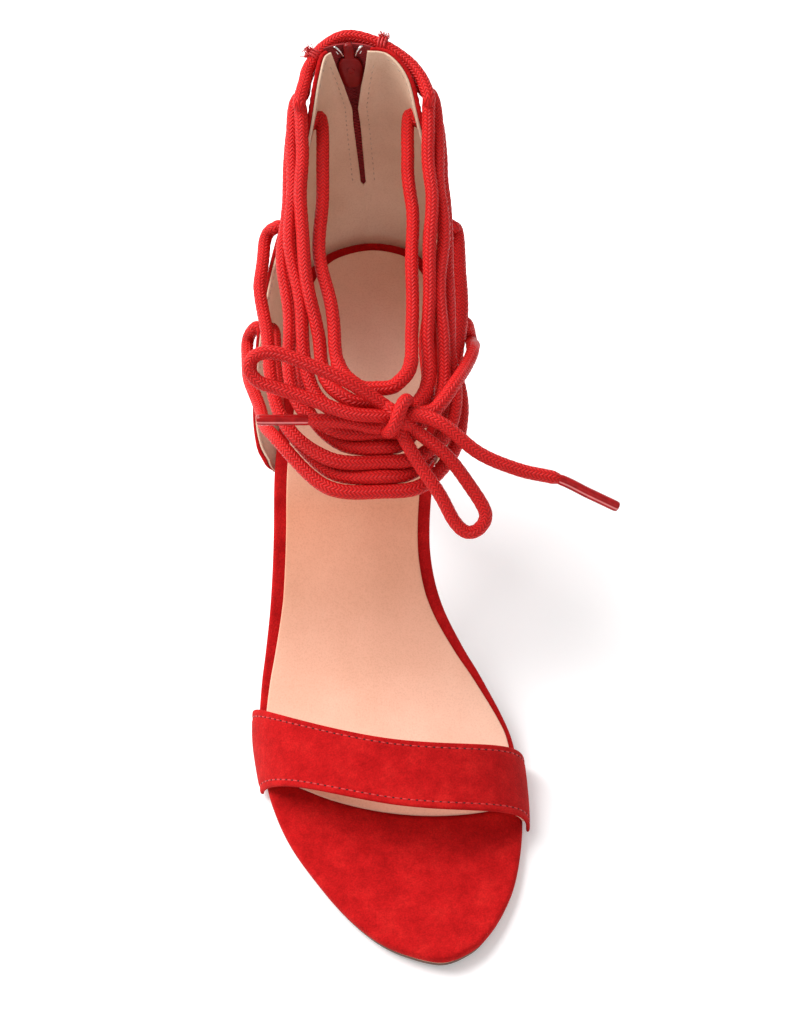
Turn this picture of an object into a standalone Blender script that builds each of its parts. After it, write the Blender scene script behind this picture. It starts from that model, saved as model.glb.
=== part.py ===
"""Open-toe lace-up sandal on a slim high heel, for the right foot.

Metres, +Z up, toe towards -Y, big-toe side towards +X. It stands on its forefoot and its heel tip.
A station is a distance along the footbed's top, from the back of the heel (0) to the toe tip.
"""
import math

import bmesh
import bpy
import numpy as np

# Driving dimensions
BED_LENGTH = 0.236
BED_THICK = 0.0032
TOE_Y = -0.1064
TOE = (0, TOE_Y, 0)
SOLE_THICK = 0.0018
SOLE_FLAT = 0.0004
SOLE_INSET = 0.0010
SOCK_THICK = 0.0008
WALL = 0.0020
GAP = 0.0003
BALL_HEIGHT = BED_THICK + GAP + SOLE_THICK - SOLE_FLAT
CORD = 0.0036
TIP_DIAMETER = 0.0028

# Slope of the footbed down to the toe: station, degrees
SLOPES = (
    (0.000, 15), (0.030, 18), (0.062, 43), (0.120, 46),
    (0.165, 8), (0.185, 0), (0.215, -2), (0.236, -8),
)
SLOPE_BLEND = 0.020
PROFILE_STEP = 0.0005
PROFILE_PAST_ENDS = (0.012, 0.006)

# Outline of the footbed: station, lateral x, medial x
HEEL_BACK_X = 0.0005
TOE_TIP_X = 0.0105
OUTLINE = (
    (0.0030, -0.0120, 0.0125),
    (0.0100, -0.0195, 0.0190),
    (0.0200, -0.0237, 0.0220),
    (0.0350, -0.0260, 0.0225),
    (0.0550, -0.0292, 0.0205),
    (0.0750, -0.0323, 0.0172),
    (0.0950, -0.0335, 0.0150),
    (0.1080, -0.0345, 0.0154),
    (0.1200, -0.0358, 0.0182),
    (0.1320, -0.0376, 0.0236),
    (0.1420, -0.0392, 0.0290),
    (0.1550, -0.0403, 0.0349),
    (0.1650, -0.0397, 0.0376),
    (0.1800, -0.0370, 0.0382),
    (0.1950, -0.0316, 0.0372),
    (0.2100, -0.0228, 0.0339),
    (0.2200, -0.0156, 0.0296),
    (0.2280, -0.0077, 0.0243),
    (0.2330, 0.0005, 0.0188),
)

# Sock and sole: where each begins and ends on the lateral and the medial side
SOCK_FRONT = (0.178, 0.189)
SOCK_MARGINS = ((0.115, 0.0039), (0.160, 0.0018))
SOLE_BACK = 0.0545

# Heel: its seat under the footbed, then sections down to the tip
SEAT_STATIONS = (0.0006, 0.0480)
SEAT_HALF_WIDTH = 0.0255
SEAT_X = -0.0020
SEAT_SQUARENESS = 2.6
SEAT_INSET = 0.0005
# Height, lean of the section, y from the toe tip, half width, half depth
HEEL_SECTIONS = (
    (0.0690, 0.34, 0.1870, 0.0190, 0.0165),
    (0.0590, 0.24, 0.1892, 0.0145, 0.0128),
    (0.0470, 0.14, 0.1908, 0.0102, 0.0098),
    (0.0330, 0.05, 0.1918, 0.0072, 0.0074),
    (0.0180, 0.00, 0.1922, 0.0056, 0.0060),
    (0.0063, 0.00, 0.1922, 0.0051, 0.0055),
)
HEEL_TIP_HEIGHT = 0.0060
HEEL_SIDES = 24
HEEL_SQUARENESS = 2.1

# Toe band: stations of its back and front edge on the lateral and the medial side
BAND_LATERAL = (0.150, 0.176)
BAND_MEDIAL = (0.170, 0.193)
BAND_CREST = (0.0190, 0.0150)
BAND_SWEEP = (0.0120, 0.0095)
BAND_SQUARENESS = 2.5

# Heel quarter, its free edge: share of the way from back to front, lateral x, medial x, y from the toe tip, z
QUARTER_FRONT = 0.076
QUARTER_EDGE = (
    (0.00, -0.0055, -0.0055, 0.2000, 0.1690),
    (0.10, -0.0110, 0.0035, 0.1975, 0.1690),
    (0.20, -0.0135, 0.0098, 0.1920, 0.1648),
    (0.32, -0.0160, 0.0128, 0.1855, 0.1550),
    (0.45, -0.0200, 0.0165, 0.1785, 0.1403),
    (0.58, -0.0270, 0.0192, 0.1710, 0.1230),
    (0.70, -0.0325, 0.0230, 0.1635, 0.1050),
    (0.80, -0.0355, 0.0250, 0.1575, 0.0890),
    (0.90, -0.0372, 0.0262, 0.1515, 0.0735),
    (0.96, -0.0362, 0.0225, 0.1470, 0.0650),
    (1.00, -0.0336, 0.0187, 0.1435, 0.0610),
)
QUARTER_BULGE = ((0.0, 0.0045), (0.3, 0.0035), (0.7, 0.0015), (1.0, 0.0003))
BULGE_PEAK = 4 / 27
QUARTER_COLUMNS = 44
QUARTER_ROWS = 12

# Lace holes: share of the way from back to front, share of the way up, share up where the strand leaves
LACE_HOLES = ((0.27, 0.872, 0.89), (0.52, 0.85, 0.94), (0.71, 0.76, 0.94))
STRAND_LEAVES = (0.07, 0.0012)
CUT_REACH = 0.006
HOLE_DIAMETER = 0.0046

# Zip in the back seam, by its share of the way up the quarter
ZIP_BOTTOM = 0.30
ZIP_TOP = 0.80
ZIP_SLOT = 0.0054
SLOT_FLARE = ((0.74, 0.0027), (0.84, 0.0046), (0.92, 0.0053), (1.10, 0.0068))
CHAIN_THICK = 0.0014
SLIDER_TOP = 0.955
SLIDER_LENGTH = 0.0110
SLIDER_WIDTH = 0.0070
SLIDER_BRIDGE = 0.0036
SLIDER_ROUND = 0.0008
PLATE_THICK = 0.0010
CROWN_THICK = 0.0016
CROWN_SPAN = (0.0022, 0.0088)
CROWN_HEIGHT = 0.0030
CROWN_BAR = 0.0010
PULL_LENGTH = 0.0180
PULL_WIDTH = 0.0052
PULL_THICK = 0.0012
PULL_WINDOW = 0.0036
PULL_PLAY = 0.0006

# Lace rows over the instep, from the top one down: middle of the first and the last
ROWS = 8
ROW_FIRST = (-0.0015, 0.1175, 0.1150)
ROW_LAST = (-0.0015, 0.0975, 0.0948)
# How far each row runs to the lateral and the medial side before it turns back, how deep it dives there
ROW_TURNS = (
    (0.0110, 0.0105, 0.0),
    (0.0150, 0.0, 0.0),
    (0.0187, 0.0146, 0.0),
    (0.0232, 0.0186, 0.0),
    (0.0200, 0.0140, 0.0044),
    (0.0268, 0.0216, 0.0),
    (0.0250, 0.0190, 0.0044),
    (0.0276, 0.0228, 0.0),
)
TURN_BACK = (0.0106, 0.0166)
TURN_UP = 0.0035
STRAND_SAG = (0.0, -0.0040, -0.0020)
LATERAL_BULGE = 0.0020
LACE_CLEAR = 0.0005

# Lace bars: row, lateral end, medial end, each end a hole's number and a face of the wall
BARS = (
    (1, (1, "in"), (1, "in")),
    (5, (2, "in"), (2, "in")),
    (6, (2, "out"), (1, "out")),
    (7, (3, "in"), (3, "in")),
    (8, (3, "out"), (2, "out")),
)

# Turns round the back: share of the way from back to front, share of the way up, distance off the wall
UPPER_TURN = (
    (0.0, 0.992, 0.0), (0.08, 0.968, -0.0003), (0.15, 0.955, -0.0002), (0.21, 0.972, -0.0003),
    (0.27, 1.008, -0.0001), (0.31, 1.038, -0.0003), (0.36, 1.058, -0.0019),
)
LOWER_TURN = (
    (0.0, 0.945, 0.0040), (0.08, 0.922, 0.0026), (0.15, 0.904, 0.0006), (0.21, 0.911, 0.0),
    (0.31, 0.952, 0.0012),
)

# The medial end comes out of the lowest hole, lies over the other strands and goes into the knot
OVER_STRAND = (
    (0.0273, 0.1385, 0.1087), (0.0240, 0.1280, 0.1122), (0.0198, 0.1185, 0.1146), (0.0164, 0.1136, 0.1134),
    (0.0132, 0.1108, 0.1121),
)

# Bow: the knot, then loops and ends as routes with y from the toe tip
KNOT_MIDDLE = (0.0034, 0.1075, 0.1140)
KNOT_HALF = (0.0056, 0.0050, 0.0042)
KNOT_CLEAR = 0.0011
OVER_HEADING = (10, 4, -3)
LOOPS = (
    ("lace_loop_lateral", ((-10, 5, 7), (-11.5, -1, 2)), (
        (-0.0100, 0.1130, 0.1225), (-0.0200, 0.1165, 0.1258), (-0.0290, 0.1193, 0.1280),
        (-0.0345, 0.1192, 0.1272), (-0.0362, 0.1170, 0.1247), (-0.0340, 0.1146, 0.1221),
        (-0.0290, 0.1132, 0.1207), (-0.0203, 0.1108, 0.1185), (-0.0100, 0.1075, 0.1160),
    )),
    ("lace_loop_medial", ((3, -8, -8), (9, -5, -6)), (
        (0.0088, 0.0985, 0.1045), (0.0143, 0.0925, 0.0980), (0.0181, 0.0882, 0.0917),
        (0.0215, 0.0864, 0.0890), (0.0251, 0.0872, 0.0895), (0.0268, 0.0900, 0.0927),
        (0.0226, 0.0948, 0.0988), (0.0162, 0.1000, 0.1060),
    )),
)
ENDS = (
    ("lateral", (-10, -1.5, -6), (
        (-0.0105, 0.1083, 0.1117), (-0.0206, 0.1089, 0.1123),
    ), (-0.0348, 0.1096, 0.1124)),
    ("medial", (10, -1.5, 1), (
        (0.0160, 0.1040, 0.1133), (0.0254, 0.0990, 0.1070), (0.0364, 0.0965, 0.1024),
        (0.0471, 0.0952, 0.0996),
    ), (0.0636, 0.0907, 0.0921)),
)


def clear_scene():
    for item in list(bpy.data.objects):
        bpy.data.objects.remove(item, do_unlink=True)


def make_material(name, colour, roughness, metallic=0.0):
    material = bpy.data.materials.new(name)
    material.use_nodes = True
    shader = material.node_tree.nodes["Principled BSDF"]
    shader.inputs["Base Color"].default_value = (*colour, 1.0)
    shader.inputs["Roughness"].default_value = roughness
    shader.inputs["Metallic"].default_value = metallic
    return material


def smooth_curve(points, per_span, closed=False):
    """Points along a Catmull-Rom curve through the given ones."""
    points = np.asarray(points, float)
    count = len(points)
    spans = count if closed else count - 1
    if closed:
        before, after = points[-1:], points[:2]
    else:
        before, after = 2 * points[:1] - points[1:2], 2 * points[-1:] - points[-2:-1]
    padded = np.concatenate([before, points, after])
    share = np.linspace(0, 1, per_span, endpoint=False)[:, None]
    pieces = []
    for span in range(spans):
        a, b, c, d = padded[span:span + 4]
        bend = 2 * a - 5 * b + 4 * c - d
        twist = 3 * b - a - 3 * c + d
        pieces.append(0.5 * (2 * b + (c - a) * share + bend * share**2 + twist * share**3))
    if not closed:
        pieces.append(points[-1:])
    return np.concatenate(pieces)


def lengths_along(chain):
    """Distance of each point of a chain from its first."""
    return np.concatenate([[0], np.cumsum(np.linalg.norm(np.diff(chain, axis=0), axis=1))])


def points_at(chain, wanted):
    """Points of a chain at given distances from its first."""
    length = lengths_along(chain)
    return np.stack([np.interp(wanted, length, column) for column in chain.T], axis=-1)


def footbed_profile():
    """Station, y, z and slope along the middle of the footbed's top, a little past both its ends."""
    before, after = PROFILE_PAST_ENDS
    station = np.arange(-before, BED_LENGTH + after, PROFILE_STEP)
    places, degrees = np.array(SLOPES).T
    half = round(SLOPE_BLEND / PROFILE_STEP / 2)
    window = np.full(2 * half + 1, 1 / (2 * half + 1))
    padded = np.pad(np.interp(station, places, degrees), half, mode="edge")
    slope = np.radians(np.convolve(padded, window, mode="valid"))
    run = np.cumsum(np.cos(slope)) * PROFILE_STEP
    drop = np.cumsum(np.sin(slope)) * PROFILE_STEP
    y = TOE_Y + np.interp(BED_LENGTH, station, run) - run
    z = drop.max() - drop + BALL_HEIGHT
    return station, y, z, slope


STATION, BED_Y, BED_Z, BED_SLOPE = footbed_profile()


def over_bed(station, x, height):
    """Points at a height square off the footbed's top."""
    slope = np.interp(station, STATION, BED_SLOPE)
    y = np.interp(station, STATION, BED_Y) - np.sin(slope) * height
    z = np.interp(station, STATION, BED_Z) + np.cos(slope) * height
    return np.stack(np.broadcast_arrays(x, y, z), axis=-1)


def footbed_outline():
    """Closed outline as (station, x): up the lateral side from the back, then down the medial side."""
    table = np.array(OUTLINE)
    points = [(0, HEEL_BACK_X), *table[:, (0, 1)], (BED_LENGTH, TOE_TIP_X), *table[::-1, (0, 2)]]
    return smooth_curve(points, 4, closed=True)


def outward(loop):
    """Unit normals of the closed outline, pointing away from its inside."""
    along = np.roll(loop, -1, axis=0) - np.roll(loop, 1, axis=0)
    normal = np.stack([along[:, 1], -along[:, 0]], axis=1)
    normal /= np.linalg.norm(normal, axis=1)[:, None]
    middle = loop.mean(axis=0)
    flip = np.sign(np.sum(normal * (loop - middle), axis=1).sum())
    return normal * flip


OUTLINE_LOOP = footbed_outline()
OUTLINE_OUT = outward(OUTLINE_LOOP)


def both_sides(loop):
    """Lateral and medial half of a closed row of values, each from the back to the toe."""
    half = len(loop) // 2
    return loop[:half + 1], np.concatenate([loop[:1], loop[:half - 1:-1]])


def side_chains(margin):
    """Lateral and medial side of the outline, from the back to the toe, moved in by a margin."""
    return both_sides(OUTLINE_LOOP - OUTLINE_OUT * margin(OUTLINE_LOOP[:, 0])[:, None])


def cut_chain(chain, start, end, count):
    """Even points along a chain, between two of its stations."""
    first, last = np.interp((start, end), chain[:, 0], lengths_along(chain))
    return points_at(chain, np.linspace(first, last, count))


def sheet_between(lateral, medial, cells):
    """Rows of (station, x) across the foot, from one chain to the other."""
    share = np.linspace(0, 1, cells + 1)[None, :, None]
    return lateral[:, None] * (1 - share) + medial[:, None] * share


def add_object(name, mesh, material):
    mesh.materials.append(material)
    item = bpy.data.objects.new(name, mesh)
    bpy.context.scene.collection.objects.link(item)
    return item


def solid_between(name, top, bottom, material):
    """One body between two grids of points that lie face to face."""
    rows, columns = top.shape[:2]
    index = np.arange(rows * columns).reshape(rows, columns)
    under = rows * columns
    faces = []
    for row in range(rows - 1):
        for column in range(columns - 1):
            a, b = index[row, column], index[row, column + 1]
            c, d = index[row + 1, column + 1], index[row + 1, column]
            faces.append((a, b, c, d))
            faces.append((d + under, c + under, b + under, a + under))
    rim = [*index[0, :-1], *index[:-1, -1], *index[-1, :0:-1], *index[:0:-1, 0]]
    for a, b in zip(rim, rim[1:] + rim[:1]):
        faces.append((b, a, a + under, b + under))
    points = np.concatenate([top.reshape(-1, 3), bottom.reshape(-1, 3)])
    return body_from(name, points, faces, material)


def body_from(name, points, faces, material):
    """One closed body from points and faces, with doubled points merged and its faces turned out."""
    shape = bmesh.new()
    corners = [shape.verts.new(point) for point in points]
    for face in faces:
        shape.faces.new([corners[corner] for corner in face])
    bmesh.ops.remove_doubles(shape, verts=shape.verts, dist=0.000002)
    bmesh.ops.recalc_face_normals(shape, faces=shape.faces)
    mesh = bpy.data.meshes.new(name)
    shape.to_mesh(mesh)
    shape.free()
    mesh.shade_smooth()
    mesh.set_sharp_from_angle(angle=math.radians(40))
    return add_object(name, mesh, material)


def ring_body(name, rings, material):
    """One body lofted through closed rings of points, capped at both ends."""
    sides = len(rings[0])
    faces = [tuple(range(sides)), tuple(range((len(rings) - 1) * sides, len(rings) * sides))]
    for ring in range(len(rings) - 1):
        for side in range(sides):
            a = ring * sides + side
            b = ring * sides + (side + 1) % sides
            faces.append((a, b, b + sides, a + sides))
    return body_from(name, np.concatenate(rings), faces, material)


def cord(name, route, diameter, material, spacing=2.2):
    """Tube along a smooth route, with a point every few diameters."""
    fine = smooth_curve(route, 12)
    length = lengths_along(fine)[-1]
    points = points_at(fine, np.linspace(0, length, max(4, round(length / (spacing * diameter)) + 1)))
    curve = bpy.data.curves.new(name, "CURVE")
    curve.dimensions = "3D"
    curve.bevel_depth = diameter / 2
    curve.bevel_resolution = 2
    curve.use_fill_caps = True
    spline = curve.splines.new("POLY")
    spline.points.add(len(points) - 1)
    for knot, point in zip(spline.points, points):
        knot.co = (*point, 1)
    return add_object(name, curve, material)


def cut(item, cutter):
    """Take one body out of another, and keep the cutter only as a guide."""
    cutter.hide_render = True
    cutter.display_type = "WIRE"
    step = item.modifiers.new(cutter.name, "BOOLEAN")
    step.operation = "DIFFERENCE"
    step.object = cutter


def no_margin(station):
    return np.zeros_like(station)


def make_footbed(material):
    lateral, medial = side_chains(no_margin)
    rows = sheet_between(
        cut_chain(lateral, 0, BED_LENGTH, 44), cut_chain(medial, 0, BED_LENGTH, 44), 4)
    top = over_bed(rows[..., 0], rows[..., 1], 0)
    bottom = over_bed(rows[..., 0], rows[..., 1], -BED_THICK)
    solid_between("footbed", top, bottom, material)


def make_sock(material):
    stations, margins = np.array(SOCK_MARGINS).T
    lateral, medial = side_chains(lambda station: np.interp(station, stations, margins))
    rows = sheet_between(
        cut_chain(lateral, 0, SOCK_FRONT[0], 32), cut_chain(medial, 0, SOCK_FRONT[1], 32), 4)
    bottom = over_bed(rows[..., 0], rows[..., 1], GAP)
    top = over_bed(rows[..., 0], rows[..., 1], GAP + SOCK_THICK)
    solid_between("insole_sock", top, bottom, material)


def make_outsole(material):
    lateral, medial = side_chains(lambda station: np.full_like(station, SOLE_INSET))
    rows = sheet_between(
        cut_chain(lateral, SOLE_BACK, BED_LENGTH, 38), cut_chain(medial, SOLE_BACK, BED_LENGTH, 38), 4)
    depth = BED_THICK + GAP
    top = over_bed(rows[..., 0], rows[..., 1], -depth)
    bottom = over_bed(rows[..., 0], rows[..., 1], -depth - SOLE_THICK)
    bottom[..., 2] = np.maximum(bottom[..., 2], 0)
    solid_between("outsole", top, bottom, material)


def heel_ring(y, half_width, half_depth, squareness):
    """Plan of one section of the heel, square-shouldered at the seat and oval lower down."""
    turn = np.linspace(0, 2 * math.pi, HEEL_SIDES, endpoint=False)
    power = 2 / squareness
    x = np.sign(np.cos(turn)) * np.abs(np.cos(turn)) ** power * half_width
    along = np.sign(np.sin(turn)) * np.abs(np.sin(turn)) ** power * half_depth
    return x, TOE_Y + y + along


def make_heel(heel_material, tip_material):
    seat = np.interp(SEAT_STATIONS, STATION, BED_Y) - TOE_Y
    x, y = heel_ring(seat.mean(), SEAT_HALF_WIDTH, (seat[0] - seat[1]) / 2, SEAT_SQUARENESS)
    station = np.interp(-y, -BED_Y, STATION)
    drop = (BED_THICK + GAP) / np.cos(np.interp(station, STATION, BED_SLOPE))
    lateral, medial = side_chains(no_margin)
    x = np.clip(x + SEAT_X, outline_at(lateral, station) + SEAT_INSET, outline_at(medial, station) - SEAT_INSET)
    rings = [np.stack([x, y, np.interp(station, STATION, BED_Z) - drop], axis=1)]
    for height, lean, middle, half_width, half_depth in HEEL_SECTIONS:
        x, y = heel_ring(middle, half_width, half_depth, HEEL_SQUARENESS)
        rings.append(np.stack([x, y, height + lean * (y - TOE_Y - middle)], axis=1))
    ring_body("heel", rings, heel_material)
    foot = rings[-1].copy()
    tip_rings = []
    for height in (0.0, HEEL_TIP_HEIGHT):
        foot[:, 2] = height
        tip_rings.append(foot.copy())
    ring_body("heel_tip", tip_rings, tip_material)


def outline_at(chain, station):
    return np.interp(station, chain[:, 0], chain[:, 1])


def band_sheet(offset, across=28, along=6):
    """Grid over the toe band: rows from its back to its front edge, columns from lateral to medial."""
    lateral, medial = side_chains(no_margin)
    grid = np.zeros((along + 1, across + 1, 3))
    for row, share in enumerate(np.linspace(0, 1, along + 1)):
        ends = [low + (high - low) * share for low, high in (BAND_LATERAL, BAND_MEDIAL)]
        left = outline_at(lateral, ends[0]) - GAP
        right = outline_at(medial, ends[1]) + GAP
        crest = BAND_CREST[0] + (BAND_CREST[1] - BAND_CREST[0]) * share + offset
        sweep = BAND_SWEEP[0] + (BAND_SWEEP[1] - BAND_SWEEP[0]) * share
        turn = np.linspace(math.pi, 0, across + 1)
        power = 2 / BAND_SQUARENESS
        swing = np.sign(np.cos(turn)) * np.abs(np.cos(turn)) ** power
        rise = np.abs(np.sin(turn)) ** power
        x = (left + right) / 2 + swing * ((right - left) / 2 + offset)
        side = (swing + 1) / 2
        station = ends[0] + (ends[1] - ends[0]) * side + sweep * 4 * side * (1 - side)
        grid[row] = over_bed(station, x, -BED_THICK + rise * (crest + BED_THICK))
    return grid


def make_toe_band(material):
    solid_between("toe_band", band_sheet(WALL), band_sheet(0), material)


QUARTER_FREE_EDGE = smooth_curve(QUARTER_EDGE, 8)
SIDES = both_sides(OUTLINE_LOOP)
SIDES_OUT = both_sides(OUTLINE_OUT)


def quarter_point(share, up):
    """Point on the quarter's inner face; share runs from -1 (lateral front) over 0 (back) to 1."""
    medial = int(share > 0)
    chain = SIDES[medial]
    reach = np.interp(QUARTER_FRONT, chain[:, 0], lengths_along(chain)) * abs(share)
    station, x = points_at(chain, reach)
    station_out, x_out = [np.interp(reach, lengths_along(chain), column) for column in SIDES_OUT[medial].T]
    foot = over_bed(station + station_out * GAP, x + x_out * GAP, -BED_THICK)
    row = [np.interp(abs(share), QUARTER_FREE_EDGE[:, 0], column) for column in QUARTER_FREE_EDGE.T]
    edge = np.array([row[1 + medial], row[3] + TOE_Y, row[4]])
    places, bulges = np.array(QUARTER_BULGE).T
    swell = np.interp(abs(share), places, bulges) * up * (1 - up) ** 2 / BULGE_PEAK
    out = np.array([x_out, -station_out, 0])
    return foot * (1 - up) + edge * up + out / np.linalg.norm(out) * swell


def quarter_normal(share, up):
    """Unit normal of the quarter's wall, pointing out of the shoe."""
    step = 0.01
    along = quarter_point(min(share + step, 1), up) - quarter_point(max(share - step, -1), up)
    up = min(max(up, step), 1 - step)
    rise = quarter_point(share, up + step) - quarter_point(share, up - step)
    normal = np.cross(along, rise)
    return -normal / np.linalg.norm(normal)


def in_wall(share, up, depth):
    """Point at a depth from the quarter's inner face, measured outwards."""
    return quarter_point(share, up) + quarter_normal(share, up) * depth


def back_frame(up):
    """Middle of the back wall with its upward and outward directions."""
    middle = in_wall(0, up, WALL / 2)
    rise = quarter_point(0, up + 0.01) - quarter_point(0, up - 0.01)
    rise /= np.linalg.norm(rise)
    return middle, rise, np.cross((-1, 0, 0), rise)


def make_quarter(material):
    shares = np.linspace(-1, 1, QUARTER_COLUMNS + 1)
    ups = np.linspace(0, 1, QUARTER_ROWS + 1)
    inner = np.array([[in_wall(share, up, 0) for share in shares] for up in ups])
    outer = np.array([[in_wall(share, up, WALL) for share in shares] for up in ups])
    quarter = solid_between("heel_quarter", outer, inner, material)
    places, widths = np.array(SLOT_FLARE).T
    front, behind = [], []
    for up in (ZIP_BOTTOM, (ZIP_BOTTOM + places[0]) / 2, *places):
        middle, _, out = back_frame(up)
        half = np.array([np.interp(up, places, widths), 0, 0])
        front.append([middle - half - out * CUT_REACH, middle + half - out * CUT_REACH])
        behind.append([middle - half + out * CUT_REACH, middle + half + out * CUT_REACH])
    cut(quarter, solid_between("zip_slot_cutter", np.array(behind), np.array(front), material))
    for number, (share, up, _) in enumerate(LACE_HOLES, start=1):
        for side, sign in (("lateral", -1), ("medial", 1)):
            middle = in_wall(sign * share, up, WALL / 2)
            axis = quarter_normal(sign * share, up)
            cut(quarter, make_pin(f"hole_{side}_{number}_cutter", middle, axis, material))


def make_pin(name, middle, axis, material):
    """Short round cutter for one lace hole."""
    across = np.cross(axis, (0, 0, 1))
    across /= np.linalg.norm(across)
    upright = np.cross(across, axis)
    turn = np.linspace(0, 2 * math.pi, 12, endpoint=False)[:, None]
    ring = (np.cos(turn) * across + np.sin(turn) * upright) * HOLE_DIAMETER / 2
    return ring_body(name, [middle + ring - axis * CUT_REACH, middle + ring + axis * CUT_REACH], material)


def make_zip(chain_material, slider_material):
    half = ZIP_SLOT / 2 - GAP
    grids = [[], []]
    for up in np.linspace(ZIP_BOTTOM + 0.008, ZIP_TOP, 12):
        middle, _, out = back_frame(up)
        for grid, sign in zip(grids, (1, -1)):
            face = middle + out * sign * CHAIN_THICK / 2
            grid.append([face - (half, 0, 0), face + (half, 0, 0)])
    solid_between("zip_chain", np.array(grids[0]), np.array(grids[1]), chain_material)
    make_slider(slider_material)


def slider_frame():
    """Top of the slider in the back wall, with its downward and outward directions."""
    middle, rise, out = back_frame(SLIDER_TOP)
    return middle, -rise, out


def make_slider(material):
    """Two plates round the chain, joined at the top, with a lengthwise crown on the outer plate."""
    top, down, out = slider_frame()
    inside = CHAIN_THICK / 2 + GAP
    outside = inside + PLATE_THICK
    bridge, long, edge = SLIDER_BRIDGE, SLIDER_LENGTH, SLIDER_ROUND
    profile = (
        (edge, -outside), (0, -outside + edge), (0, outside - edge), (edge, outside),
        (long, outside), (long, inside), (bridge, inside), (bridge, -inside), (long, -inside),
        (long, -outside),
    )
    slider = extruded("zip_slider", profile, SLIDER_WIDTH, top, down, out, material)
    low, high = outside - PLATE_THICK / 4, outside + CROWN_HEIGHT
    (start, end), bar = CROWN_SPAN, CROWN_BAR
    crown = (
        (start, low), (start, high), (end, high), (end, low),
        (end - bar, low), (end - bar, high - bar), (start + bar, high - bar), (start + bar, low),
    )
    bail = extruded("crown_guide", crown, CROWN_THICK, top, down, out, material)
    bail.hide_render = True
    bail.display_type = "WIRE"
    step = slider.modifiers.new("crown", "BOOLEAN")
    step.operation = "UNION"
    step.object = bail


def extruded(name, profile, width, origin, down, out, material):
    """Body of one width across the shoe from a profile of (distance down, distance out)."""
    ring = np.array([origin + down * along + out * depth for along, depth in profile])
    half = np.array([width / 2, 0, 0])
    return ring_body(name, [ring - half, ring + half], material)


def pull_axis():
    """Place of the pull's pivot under the slider's crown."""
    top, down, out = slider_frame()
    outside = CHAIN_THICK / 2 + GAP + PLATE_THICK
    return top + down * sum(CROWN_SPAN) / 2 + out * (outside + (CROWN_HEIGHT - CROWN_BAR) / 2)


def make_pull(material):
    """Flat tab with a window at its top, so that its cross bar lies under the crown."""
    axis = pull_axis()
    _, down, out = slider_frame()
    thick = PULL_THICK / 2
    plate = [(-thick, -thick), (-thick, thick), (PULL_LENGTH, thick), (PULL_LENGTH, -thick)]
    origin = np.zeros(3)
    pull = extruded("zip_pull", plate, PULL_WIDTH, origin, down, out, material)
    end = thick + PULL_WINDOW
    window = [(thick, -CUT_REACH), (thick, CUT_REACH), (end, CUT_REACH), (end, -CUT_REACH)]
    width = CROWN_THICK + 2 * PULL_PLAY
    cut(pull, extruded("pull_window_cutter", window, width, origin, down, out, material))
    for item in (pull, pull.modifiers[0].object):
        item.location = axis


def lace_end(sign, number, face):
    """Start of a strand at a lace hole: beside the wall, then past the free edge on the outer face."""
    share, up, up_past = LACE_HOLES[number - 1]
    if face == "in":
        return [in_wall(sign * share, up, -LACE_CLEAR - CORD / 2)]
    depth = WALL + LACE_CLEAR + CORD / 2
    onward, more = STRAND_LEAVES
    return [in_wall(sign * share, up, depth), in_wall(sign * (share + onward), up_past, depth + more)]


def lace_row(number):
    """Middle of one row over the instep."""
    share = (number - 1) / (ROWS - 1)
    first, last = np.array(ROW_FIRST), np.array(ROW_LAST)
    return first + (last - first) * share + TOE


def strand_side(row, sign, start):
    """Way of one strand from where it leaves the upper to the middle of its row."""
    lateral, medial, dive = ROW_TURNS[row - 1]
    spread = -lateral if sign < 0 else medial
    sink = knot_frame()[1][2] * dive
    middle = lace_row(row)
    back = np.interp(row, (1, ROWS), TURN_BACK)
    corner = middle + (spread, back, TURN_UP) - sink
    side = (start[-1] + corner) / 2 + STRAND_SAG
    if sign < 0:
        side = side - (LATERAL_BULGE, 0, 0)
    near = middle + (spread * 0.55, back * 0.12, TURN_UP * 0.17) - sink * 0.6
    return [*start, side, corner, near]


def back_turn(places):
    """Way of one turn round the back of the ankle, from the lateral to the medial side."""
    depth = WALL + 2 * LACE_CLEAR + CORD / 2
    lateral = [in_wall(-share, up, depth + more) for share, up, more in places[:0:-1]]
    medial = [in_wall(share, up, depth + more) for share, up, more in places]
    return [*lateral, *medial]


def make_bars(material):
    """Strands that run from hole to hole across the instep."""
    for row, lateral, medial in BARS:
        left = strand_side(row, -1, lace_end(-1, *lateral))
        right = strand_side(row, 1, lace_end(1, *medial))
        cord(f"lace_bar_{row}", [*left, lace_row(row), *right[::-1]], CORD, material)


def make_wraps(material):
    """The lace's two ends: one turns twice round the back, the other comes straight to the knot."""
    upper, lower = back_turn(UPPER_TURN), back_turn(LOWER_TURN)
    rise = [*strand_side(4, -1, lace_end(-1, 1, "out")), lace_row(4), *strand_side(4, 1, lower[-1:])[::-1]]
    first = [*rise, *lower[-2:0:-1], *strand_side(3, -1, lower[:1]), lace_row(3)]
    cord("lace_turn_lower", first, CORD, material)
    joint = lace_row(3) + (3 * GAP, 0, 0)
    rise = [joint, *strand_side(3, 1, upper[-1:])[::-1]]
    second = [*rise, *upper[-2:0:-1], *strand_side(2, -1, upper[:1]), lace_row(2)]
    cord("lace_turn_upper", second, CORD, material)
    over = [np.array(point) + TOE for point in OVER_STRAND]
    cord("lace_over_strand", [*lace_end(1, 3, "out"), *over, knot_root(OVER_HEADING)], CORD, material)


def knot_frame():
    """Middle of the knot and its half sizes along x, across the rows and off the rows."""
    lean = np.array(ROW_FIRST) - np.array(ROW_LAST)
    lean /= np.linalg.norm(lean)
    off = np.cross((1, 0, 0), lean)
    middle = np.array(KNOT_MIDDLE) + TOE
    return middle, np.array([(1, 0, 0), lean, off])


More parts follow.
